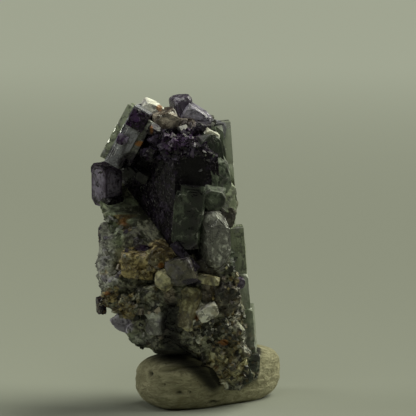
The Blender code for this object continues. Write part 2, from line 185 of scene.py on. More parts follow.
# Where the colours of growth, the stains and some painted shade lie on the front, seen from the viewpoint:
# (across, up, reach across, reach up, strength)
zones = {
    "green": (
        (-2.1, 20.8, 1.7, 2.7, 1), (-2.3, 24.0, 1.4, 1.4, 0.7), (0.5, 28.0, 1.3, 1.8, 0.8),
        (0.0, 24.2, 1.1, 1.6, 0.8), (3.2, 18.2, 1.0, 2.7, 0.8), (-11.0, 21.6, 0.5, 1.6, 0.45),
        (-8.9, 22.6, 0.5, 0.9, 0.4), (-4.8, 10.8, 1.1, 2.9, 0.45), (-8.2, 7.7, 2.1, 1.4, 0.5)),
    "smoky": (
        (-5.4, 32.9, 1.4, 1.2, 0.8), (-3.4, 16.4, 1.6, 1.6, 0.7), (0.6, 13.4, 1.5, 1.7, 0.8),
        (-4.6, 13.0, 0.8, 1.2, 0.6)),
    "umber": (),
    "violet": ((-12.0, 25.4, 1.8, 2.3, 0.5),),
    "pale": (
        (-11.0, 28.8, 1.5, 1.4, 0.95), (-9.4, 32.3, 1.0, 0.5, 0.5), (-9.4, 34.9, 0.5, 2.3, 0.3),
        (0.3, 19.4, 1.5, 3.4, 0.9), (-12.1, 18.2, 1.1, 3.4, 0.8), (-6.3, 10.0, 0.8, 1.1, 0.6),
        (4.5, 8.0, 0.9, 2.5, 0.5), (-11.2, 14.6, 0.9, 0.7, 0.6), (-7.6, 8.1, 1.6, 0.9, 0.5)),
    "lavender": (
        (-2.2, 34.0, 1.1, 1.0, 0.85), (-0.7, 33.8, 1.0, 1.0, 0.8), (0.7, 32.4, 0.8, 1.0, 0.6),
        (-9.8, 9.4, 1.1, 0.7, 0.7), (-12.2, 14.8, 0.6, 1.2, 0.5)),
    "ochre": (
        (-10.2, 22.0, 0.7, 0.9, 0.9), (-9.5, 20.8, 0.6, 0.6, 0.7), (-8.5, 16.5, 1.9, 1.4, 0.8),
        (-5.7, 18.0, 1.4, 1.3, 0.95), (-3.0, 16.0, 0.6, 0.6, 0.85), (-11.5, 12.9, 1.3, 0.6, 0.9),
        (-9.6, 11.7, 0.9, 0.6, 0.75), (-8.0, 16.2, 2.5, 0.9, 0.6), (-7.2, 30.7, 0.5, 1.0, 0.6),
        (-5.6, 34.2, 0.7, 0.8, 0.6), (2.5, 12.0, 0.5, 1.4, 0.6), (-12.1, 15.7, 0.7, 0.5, 0.5),
        (-0.6, 4.6, 0.5, 0.9, 0.7), (2.0, 7.4, 2.0, 1.2, 0.45)),
    "frost": (),
    "mint": (
        (-10.2, 22.2, 1.6, 2.2, 0.85), (2.3, 24.0, 0.7, 3.2, 0.8), (-8.4, 8.2, 2.2, 1.3, 0.4),
        (-10.6, 19.4, 0.9, 1.5, 0.5)),
    "beige": ((2.0, 5.2, 2.4, 2.2, 0.75), (-8.6, 17.0, 0.9, 0.6, 0.6)),
    "cream": (
        (-7.0, 34.9, 0.9, 0.8, 1), (-2.9, 32.3, 0.5, 0.3, 1), (0.2, 31.6, 1.1, 0.5, 0.9),
        (-0.3, 11.3, 1.1, 0.9, 1), (1.4, 2.7, 0.8, 0.6, 0.7)),
    "purple": (
        (-5.5, 30.1, 2.5, 1.8, 0.9), (-9.0, 27.6, 1.4, 1.7, 1), (-1.9, 27.2, 1.5, 1.7, 0.95),
        (-4.1, 31.5, 1.1, 0.9, 0.6), (-0.3, 32.6, 0.7, 0.7, 0.35), (-1.5, 31.2, 0.9, 0.8, 0.4),
        (-7.7, 18.5, 0.8, 0.3, 0.95), (-2.1, 14.6, 1.1, 0.4, 0.8), (-12.9, 12.2, 0.5, 0.8, 1),
        (3.4, 14.2, 0.5, 0.4, 0.5), (-11.7, 11.5, 0.8, 0.5, 0.5), (-2.7, 18.8, 1.6, 0.7, 0.6)),
    "plum": (
        (-11.2, 29.7, 0.5, 0.9, 0.45), (-3.9, 30.6, 1.6, 1.2, 0.75), (-2.0, 28.2, 1.0, 0.8, 0.6),
        (-7.8, 18.5, 0.8, 0.35, 0.9), (-1.5, 31.2, 0.8, 0.8, 0.6)),
    "dark": (
        # Painted shade: the spots at (-5.2, 6.3), (-3.3, 5.9), (-1.5, 5.1), (-0.3, 3.9) and (-3.8, 6.8)
        # darken the cluster's underside above the putty, and the one at (-1.9, 27.0) darkens the
        # octahedron's right face. The others are dark patches
        (-5.2, 6.3, 1.5, 0.7, 1), (-3.3, 5.9, 1.7, 0.9, 1), (-1.5, 5.1, 1.1, 0.9, 1),
        (-0.3, 3.9, 0.5, 0.8, 0.9), (-4.6, 9.1, 1.0, 3.4, 0.9), (-1.9, 27.0, 1.5, 1.9, 0.9),
        (-5.2, 21.0, 1.2, 2.0, 0.4), (-2.3, 22.5, 0.6, 0.3, 1), (-1.6, 24.8, 0.6, 0.9, 0.8),
        (-3.8, 6.8, 1.6, 0.9, 0.8), (-3.9, 24.5, 0.5, 2.1, 0.5), (-4.8, 18.6, 0.8, 0.8, 0.5),
        (0.2, 26.0, 1.1, 0.3, 0.5), (-0.3, 9.1, 0.8, 0.7, 0.5), (4.2, 4.1, 0.8, 0.6, 0.5),
        (-9.1, 13.7, 1.8, 0.5, 0.5)),
    "rust": (
        (-8.1, 30.4, 0.5, 0.3, 0.9), (-6.7, 32.0, 0.3, 0.7, 0.5), (-5.8, 34.5, 0.4, 0.4, 0.7),
        (-5.6, 16.5, 0.3, 0.3, 1), (1.6, 7.7, 0.4, 0.3, 1.1), (-9.9, 21.4, 0.7, 0.7, 0.5),
        (-11.8, 13.3, 0.5, 0.3, 0.6), (-1.5, 10.5, 0.4, 0.5, 0.5), (0.7, 4.8, 0.6, 0.4, 0.4)),
    "grit": (
        (1.8, 6.6, 4.2, 4.6, 0.75), (-0.6, 9.3, 1.5, 1.9, 0.9), (-10.5, 12.2, 2.2, 1.4, 0.8),
        (-8.5, 16.4, 2.0, 1.6, 0.5), (-6.4, 14.4, 2.4, 2.0, 0.35)),
}
zoneNames = list(zones)
# Stains, and the dark zone with its painted shade, also lie over a crystal that has a colour of its own
stainsAndShade = ("purple", "plum", "dark", "rust", "grit")
# Away from the front they follow smooth random fields: wave length, seed, how rare
wildZones = {
    "green": (8.0, 43, 0.2), "smoky": (5.0, 48, 0.5), "pale": (6.0, 42, 0.35),
    "lavender": (5.5, 49, 0.5), "ochre": (4.5, 44, 0.5), "frost": (5.0, 38, 0.7),
    "mint": (6.0, 37, 0.6), "umber": (5.0, 36, 0.6), "violet": (4.5, 35, 0.6),
    "beige": (3.5, 50, 0.6), "cream": (3.0, 45, 0.85), "purple": (7.0, 41, 0.25),
    "plum": (5.0, 39, 0.9), "dark": (2.5, 46, 0.7), "rust": (2.6, 47, 1.25), "grit": (6.0, 40, 0.1)}
# The front ends between these depths, fall and power shape a spot's border, and underOwn is what
# is left of a zone on a crystal that has a colour of its own
zoneShape = {"frontFrom": 4.0, "frontTo": 1.0, "fall": 0.6, "power": 1.3, "wildWidth": 0.5,
             "underOwn": 0.4}


def zoneValues(points, own):
    # One number per point and zone: the strongest soft spot of the front, or the wild field.
    # A crystal's own colour, given as its place in zoneNames, wins over all but the stains and the dark
    # zone's painted shade
    across, up = toView(points)
    front = softStep(points[:, 1], zoneShape["frontFrom"], zoneShape["frontTo"])
    values = {}
    for index, (name, spots) in enumerate(zones.items()):
        total = np.zeros(len(points))
        for x, z, reachX, reachZ, strength in spots:
            spread = ((across - x) / reachX) ** 2 + ((up - z) / reachZ) ** 2
            soft = np.exp(-zoneShape["fall"] * spread ** zoneShape["power"])
            total = np.maximum(total, strength * soft)
        waveLength, seed, rare = wildZones[name]
        wild = softStep(wavy(points, waveLength, seed), rare, rare + zoneShape["wildWidth"])
        value = front * total + (1 - front) * wild
        if name not in stainsAndShade:
            value = np.where(own >= 0, zoneShape["underOwn"] * value, value)
        values[name] = np.where(own == index, 1.0, value)
    values["grit"] = np.where(own == zoneIndex("purple"), 0, values["grit"])
    return values


def zoneIndex(kind):
    # A zone's place in zoneNames, or -1 for no colour of its own
    return zoneNames.index(kind) if kind else -1


# The finishes: nodes written as Python expressions

class Wire:
    # A socket that Python's operators build Math nodes on
    def __init__(self, finish, socket):
        self.finish, self.socket = finish, socket

    def maths(self, operation, *values):
        return self.finish.add("ShaderNodeMath", {"operation": operation}, dict(enumerate(values)))

    def __add__(self, other):
        return self.maths("ADD", self, other)

    def __sub__(self, other):
        return self.maths("SUBTRACT", self, other)

    def __rsub__(self, other):
        return self.maths("SUBTRACT", other, self)

    def __mul__(self, other):
        return self.maths("MULTIPLY", self, other)

    __radd__ = __add__
    __rmul__ = __mul__

    def between(self, low, high):
        # 0 below low, 1 above high, a soft step between them
        return self.finish.add("ShaderNodeMapRange", {"interpolation_type": "SMOOTHSTEP"},
                               {"Value": self, "From Min": low, "From Max": high})


class Finish:
    # One material and the ways to add nodes to it
    def __init__(self, name):
        self.material = bpy.data.materials.new(name)
        self.material.use_nodes = True
        self.tree = self.material.node_tree
        self.tree.nodes.clear()
        place = self.add("ShaderNodeTexCoord", {}, {}, "Object")
        self.place = self.vector("SCALE", {0: place, "Scale": 1 / mm})

    def add(self, kind, settings, inputs, output=0):
        node = self.tree.nodes.new(kind)
        for key, value in settings.items():
            setattr(node, key, value)
        for key, value in inputs.items():
            socket = node.inputs[key]
            if isinstance(value, Wire):
                self.tree.links.new(value.socket, socket)
            elif isinstance(value, tuple) and len(value) == 3 and socket.type == "RGBA":
                socket.default_value = (*value, 1)
            else:
                socket.default_value = value
        return Wire(self, node.outputs[output])

    def vector(self, operation, inputs, output=0):
        return self.add("ShaderNodeVectorMath", {"operation": operation}, inputs, output)

    def blend(self, share, first, second):
        return self.add("ShaderNodeMix", {"data_type": "RGBA"}, {0: share, 6: first, 7: second}, 2)

    def noise(self, scale, detail=3.0, rough=0.55, distortion=0.0):
        return self.add("ShaderNodeTexNoise", {}, {"Vector": self.place, "Scale": scale, "Detail": detail,
                                                   "Roughness": rough, "Distortion": distortion})

    def cells(self, scale, feature="F1", output="Distance"):
        return self.add("ShaderNodeTexVoronoi", {"feature": feature},
                        {"Vector": self.place, "Scale": scale}, output)

    def value(self, name):
        return self.add("ShaderNodeAttribute", {"attribute_name": name}, {}, "Fac")

    def bump(self, height, strength, depth, under=None):
        inputs = {"Height": height, "Strength": strength, "Distance": depth * mm}
        if under is not None:
            inputs["Normal"] = under
        return self.add("ShaderNodeBump", {}, inputs)

    def facets(self, scale):
        # Height of random small planes: offset from the cell's middle, along the cell's own slope
        colour = self.cells(scale, output="Color")
        middle = self.cells(scale, output="Position")
        offset = self.vector("SUBTRACT", {0: self.place, 1: middle})
        slope = self.vector("SUBTRACT", {0: colour, 1: (0.5, 0.5, 0.5)})
        return self.vector("DOT_PRODUCT", {0: offset, 1: slope}, "Value")

    def surface(self, inputs, absorbs=None):
        shader = self.add("ShaderNodeBsdfPrincipled", {}, inputs)
        ends = {"Surface": shader}
        if absorbs:
            colour, density = absorbs
            inside = {"Color": colour, "Density": density}
            ends["Volume"] = self.add("ShaderNodeVolumeAbsorption", {}, inside)
        end = self.tree.nodes.new("ShaderNodeOutputMaterial")
        for key, wire in ends.items():
            self.tree.links.new(wire.socket, end.inputs[key])
        return self.material


fluoriteIor = 1.434

# Each zone's darker and lighter colour
zoneColours = {
    "green": ((0.018, 0.024, 0.018), (0.115, 0.140, 0.100)),
    "smoky": ((0.12, 0.095, 0.078), (0.50, 0.43, 0.36)),
    "umber": ((0.042, 0.036, 0.028), (0.180, 0.165, 0.130)),
    "violet": ((0.010, 0.006, 0.016), (0.21, 0.18, 0.27)),
    "pale": ((0.19, 0.19, 0.175), (0.66, 0.67, 0.62)),
    "lavender": ((0.085, 0.068, 0.105), (0.45, 0.42, 0.54)),
    "frost": ((0.25, 0.25, 0.29), (0.76, 0.77, 0.88)),
    "mint": ((0.20, 0.225, 0.155), (0.42, 0.47, 0.34)),
    "ochre": ((0.11, 0.080, 0.035), (0.58, 0.47, 0.235)),
    "beige": ((0.22, 0.19, 0.105), (0.60, 0.56, 0.34)),
    "cream": ((0.66, 0.64, 0.54), (0.94, 0.93, 0.86)),
    "purple": ((0.0050, 0.0035, 0.0068), (0.034, 0.024, 0.050)),
    "plum": ((0.006, 0.002, 0.009), (0.048, 0.020, 0.074)),
}
oreGround = ((0.050, 0.051, 0.036), (0.33, 0.33, 0.245))

# What lies over the zones, each with its strength and colour: gritty specks, rims bruised purple
# or drawn pale as a painted highlight, healed cracks, dark seams, violet haze, stains and painted shade
layers = {
    "light speck": (0.55, (0.74, 0.71, 0.60)),
    "dark speck": (0.85, (0.014, 0.013, 0.010)),
    "tan speck": (0.5, (0.36, 0.25, 0.09)),
    "bruise": (0.7, (0.045, 0.026, 0.062)),
    # line: a pale line along crystal edges, a painted highlight
    "line": (0.15, (0.40, 0.40, 0.37)),
    "crack": (0.35, (0.55, 0.55, 0.52)),
    "seam": (0.7, (0.030, 0.024, 0.032)),
    # dark: dark patches, and painted shade under the cluster's overhang and on the octahedron's right face
    "dark": (0.9, (0.010, 0.009, 0.011)),
    "rust": (0.8, (0.34, 0.14, 0.035)),
}
haze = {"strength": 0.5, "darker": (0.035, 0.022, 0.048), "lighter": (0.30, 0.27, 0.36)}
speckScale = 2.7


def laid(finish, colour, mask, layer, more=1.0):
    # A layer's colour over what is below it, where the mask is 1
    strength, over = layers[layer]
    return finish.blend(mask * (strength * more), colour, over)


def zonedColour(finish, look):
    # Mottled ground colour, then each zone laid over it with a ragged border, then the layers.
    # flaws is how strongly seams and haze show
    mottleScale, ground, flaws = look["mottle"], look["ground"], look.get("flaws", 1.0)
    mottle = finish.noise(mottleScale, 5.0, 0.62, 0.5)
    fine = finish.noise(mottleScale * 4.2, 3.0, 0.6)
    tint = finish.value("tint")
    share = (mottle + 0.6 * (fine - 0.5) + 0.25 * (tint - 0.5)).between(0.41, 0.59)
    colour = finish.blend(share, *ground)
    ragged = 0.55 + 0.45 * mottle + 0.5 * fine
    for name, (darker, lighter) in zoneColours.items():
        amount = (finish.value(name) * ragged).between(0.30, 0.56)
        colour = finish.blend(amount, colour, finish.blend(share, darker, lighter))
    rim = finish.value("rim")
    violets = finish.value("pale") * 0.45 + finish.value("violet") + finish.value("lavender") * 0.4
    bruise = (rim * ragged).between(0.30, 0.75) * violets.between(0.3, 0.9)
    colour = laid(finish, colour, bruise, "bruise")
    # A thin pale line along the edges of green crystals: a painted highlight
    line = (rim * ragged).between(0.72, 0.95) * finish.value("green").between(0.5, 0.9)
    colour = laid(finish, colour, line, "line")
    grit = finish.value("grit")
    speckColour = finish.cells(speckScale, output="Color")
    lot = finish.vector("DOT_PRODUCT", {0: speckColour, 1: (1, 0, 0)}, "Value")
    otherLot = finish.vector("DOT_PRODUCT", {0: speckColour, 1: (0, 1, 0)}, "Value")
    colour = laid(finish, colour, lot.between(0.82, 0.86) * grit, "light speck")
    colour = laid(finish, colour, (1 - lot.between(0.16, 0.20)) * grit, "dark speck")
    colour = laid(finish, colour, otherLot.between(0.80, 0.84) * grit, "tan speck")
    cracks = finish.cells(mottleScale * 1.7, "DISTANCE_TO_EDGE")
    crack = (1 - cracks.between(0.0, 0.045)) * fine.between(0.48, 0.62)
    colour = laid(finish, colour, crack, "crack")
    seams = finish.cells(mottleScale * 1.1, "DISTANCE_TO_EDGE")
    seam = (1 - seams.between(0.02, 0.17)) * fine.between(0.42, 0.56)
    colour = laid(finish, colour, seam, "seam", flaws)
    cloud = finish.noise(mottleScale * 0.8, 3.0, 0.55, 0.4).between(0.52, 0.64) * tint.between(0.2, 0.5)
    calm = 1 - (finish.value("purple") + finish.value("green") + grit).between(0.1, 0.6)
    hazeColour = finish.blend(share, haze["darker"], haze["lighter"])
    colour = finish.blend(cloud * calm * (haze["strength"] * flaws), colour, hazeColour)
    # The dark zone laid on: dark patches, and painted shade under the cluster's overhang and on the
    # octahedron's right face
    colour = laid(finish, colour, (finish.value("dark") * ragged).between(0.25, 0.7), "dark")
    rust = (finish.value("rust") * ragged).between(0.30, 0.6)
    return laid(finish, colour, rust, "rust"), share, fine, rust


def oreFinish(name, look):
    # Murky fluorite: coarse and small planes that catch the light one by one, and a fine grain
    finish = Finish(name)
    colour, share, fine, rust = zonedColour(finish, look)
    skin = finish.bump(finish.facets(1.3), look["relief"], 0.5)
    skin = finish.bump(finish.facets(3.6), look["relief"] * 0.8, 0.3, skin)
    skin = finish.bump(fine, look["relief"] * 0.5, 0.10, skin)
    return finish.surface({"Base Color": colour, "Roughness": look["rough"] + 0.25 * share + 0.3 * rust,
                           "Normal": skin, "IOR": fluoriteIor,
                           "Specular IOR Level": look.get("shine", 0.5)})


def glassFinish(name, look):
    # Clearer fluorite: light goes through, tinted by the zones and by the depth of crystal
    finish = Finish(name)
    colour, share, fine, rust = zonedColour(finish, look)
    skin = finish.bump(finish.facets(look["facetScale"]), look["relief"], 0.4)
    skin = finish.bump(fine, look["relief"] * 0.5, 0.10, skin)
    return finish.surface({"Base Color": colour, "Roughness": look["rough"] + 0.2 * fine.between(0.5, 0.8),
                           "Normal": skin, "IOR": fluoriteIor, "Transmission Weight": look["clear"]},
                          look["absorbs"])


# relief is how deep the bump goes, rough the roughness, clear the share of light let through
glassLooks = {
    "clearGreen": {"mottle": 0.35, "ground": ((0.44, 0.50, 0.39), (0.80, 0.85, 0.73)), "facetScale": 0.7,
                   "relief": 0.10, "rough": 0.30, "flaws": 0.4, "clear": 0.55,
                   "absorbs": ((0.72, 0.82, 0.68), 60)},
    "edgeGlass": {"mottle": 0.25, "ground": ((0.80, 0.86, 0.72), (0.95, 0.98, 0.90)), "facetScale": 0.4,
                  "relief": 0.04, "rough": 0.18, "flaws": 0.1, "clear": 0.62,
                  "absorbs": ((0.72, 0.82, 0.68), 25)},
    "darkGlass": {"mottle": 0.30, "ground": ((0.030, 0.040, 0.029), (0.12, 0.15, 0.11)), "facetScale": 0.6,
                  "relief": 0.12, "rough": 0.12, "clear": 0.35, "absorbs": ((0.55, 0.66, 0.56), 150)},
    "paleGlass": {"mottle": 0.6, "ground": ((0.20, 0.20, 0.18), (0.58, 0.59, 0.55)), "facetScale": 0.9,
                  "relief": 0.25, "rough": 0.20, "clear": 0.25, "absorbs": ((0.76, 0.75, 0.78), 60)},
}
oreLooks = {
    "ore": {"mottle": 0.55, "ground": oreGround, "relief": 0.55, "rough": 0.28},
    "purpleOre": {"mottle": 0.9, "ground": oreGround, "relief": 0.24, "rough": 0.20, "shine": 0.3},
    "darkFace": {"mottle": 0.9, "ground": oreGround, "relief": 0.16, "rough": 0.26, "shine": 0.16},
    "smoothOre": {"mottle": 0.45, "ground": oreGround, "relief": 0.25, "rough": 0.34},
}
finishes = {name: glassFinish(name, look) for name, look in glassLooks.items()}
finishes.update({name: oreFinish(name, look) for name, look in oreLooks.items()})
print("finishes made")


# One crystal: the planes that bound it, the grid laid on them, and the steps grown on its faces

def blockPlanes(size, kept, chips, seed):
    # Six cube planes, eight corner planes at a share of the way out to the corners, and a few
    # chips: planes in random directions that take a little off
    axes = np.concatenate([np.eye(3), -np.eye(3)])
    corners = np.array(list(itertools.product((-1, 1), repeat=3))) / math.sqrt(3)
    half = np.array(size) / 2
    rng = np.random.default_rng(seed)
    loose = rng.normal(size=(chips, 3))
    loose /= np.linalg.norm(loose, axis=1)[:, None]
    looseReach = (np.abs(loose) @ half) * rng.uniform(0.80, 0.95, size=chips)
    reaches = np.concatenate([half, half, np.full(8, kept * half.sum() / math.sqrt(3)), looseReach])
    return np.concatenate([axes, corners, loose]), reaches


def octahedronPlanes():
    # Eight faces at equal reach, stood on one edge, with blunted points and end planes.
    # Returns the planes in the crystal's own axes, its turning and its centre
    half = math.sqrt(0.5)
    upright = np.array([[0, -1, 0], [-half, 0, -half], [half, 0, -half]])
    turning = turned(*octahedron["angles"]) @ upright
    reach = octahedron["edge"] / math.sqrt(2)
    outward = turned(*octahedron["angles"]) @ np.array([0, -1, 0])
    centre = fromView(*octahedron["edgeMiddle"]) - outward * octahedron["edge"] / 2
    faces = np.array(list(itertools.product((-1, 1), repeat=3))) / math.sqrt(3)
    normals = [faces, np.eye(3), -np.eye(3)]
    reaches = [np.full(8, reach / math.sqrt(3)), np.full(6, reach * octahedron["pointsKept"])]
    for point, normal in octahedron["ends"]:
        normal = np.array(normal) / np.linalg.norm(normal)
        normals.append((turning.T @ normal)[None])
        reaches.append([normal @ (np.array(point) - centre)])
    return np.concatenate(normals), np.concatenate(reaches), turning, centre


# Shares of a cell and of a step's width, and lengths in millimetres, for every crystal
crystalShape = {
    "snap": 0.45, "pace": (0.5, 2.0), "wobble": 0.35, "warpLength": 1.6,
    "chipLength": 1.3, "chipFrom": 0.55, "chipTo": 0.9, "chipReach": 0.6}


def crystalSurface(normals, reaches, size, cells, growth, seed):
    # Each grid direction goes out to the nearest plane. Points close to an edge slide along
    # their plane onto it, so edges are straight. Faces rise in low steps away from their edges,
    # at a different rate from each edge. Returns points, quads and the distance to the edge
    grid, quads = boxGrid(cells)
    ray = grid * np.array(size) / 2
    facing = ray @ normals.T
    leaves = np.where(facing > 1e-9, reaches / np.maximum(facing, 1e-9), np.inf)
    points = ray * np.min(leaves, axis=1)[:, None]
    slack = reaches - points @ normals.T
    own = np.argmin(slack, axis=1)
    cosine = (normals @ normals.T)[own]
    sine = np.sqrt(np.maximum(1 - cosine**2, 1e-12))
    toEdge = np.where(np.abs(cosine) < 0.999, slack / sine, np.inf)
    near = np.argmin(toEdge, axis=1)
    rows = np.arange(len(points))
    edge = toEdge[rows, near]
    along = (normals[near] - cosine[rows, near][:, None] * normals[own]) / sine[rows, near][:, None]
    spacing = max(size) / cells
    snap = edge < crystalShape["snap"] * spacing
    points = points + along * np.where(snap, edge, 0)[:, None]
    rng = np.random.default_rng(seed)
    pace = rng.uniform(*crystalShape["pace"], size=len(normals))
    wave = wavy(points + seed, growth["width"] * 3, seed)
    wobble = np.maximum(crystalShape["wobble"] * growth["width"] * wave, 0)
    level = np.floor((np.min(toEdge * pace, axis=1) + wobble) / growth["width"])
    level = np.where(snap, 0, np.minimum(level, growth["levels"]))
    warp = wavy(points + 3 * seed, crystalShape["warpLength"], seed + 5)
    rise = level * growth["height"] + growth["warp"] * warp * ~snap
    chips = wavy(points + 7 * seed, crystalShape["chipLength"], seed + 9)
    chips = softStep(chips, crystalShape["chipFrom"], crystalShape["chipTo"])
    rise -= growth["chip"] * chips * softStep(edge, crystalShape["chipReach"], 0)
    points = points + normals[own] * rise[:, None]
    return points, quads, np.where(snap, 0, edge)


def joined(parts):
    # Many surfaces as one: the points end to end, the corner numbers shifted to match
    offsets = np.cumsum([0] + [len(part["points"]) for part in parts[:-1]])
    points = np.concatenate([part["points"] for part in parts])
    quads = np.concatenate([part["quads"] + offset for part, offset in zip(parts, offsets)])
    keys = parts[0]["values"]
    values = {key: np.concatenate([part["values"][key] for part in parts]) for key in keys}
    return points, quads, values


blockShape = {"fewestCells": 5, "mostCells": 44, "rimWidth": 0.45}


def makeBlock(block):
    # One crystal of allBlocks, with as many cells as its size asks for
    size, seed = block["size"], block["seed"]
    cells = round(max(size) / block["cellSize"])
    cells = int(np.clip(cells, blockShape["fewestCells"], blockShape["mostCells"]))
    normals, reaches = blockPlanes(size, block["kept"], block["chips"], seed)
    points, quads, edge = crystalSurface(normals, reaches, size, cells, block["growth"], seed)
    points = points @ turned(*block["angles"]).T + block["place"]
    rim = np.exp(-edge / blockShape["rimWidth"])
    values = {"rim": rim, "tint": np.full(len(points), blockTint(block))}
    values.update(zoneValues(points, np.full(len(points), zoneIndex(block["kind"]))))
    return {"points": points, "quads": quads, "values": values}


def blockTint(block):
    # How light this crystal is among its kind, from 0 to 1
    return random.Random(block["seed"]).random()


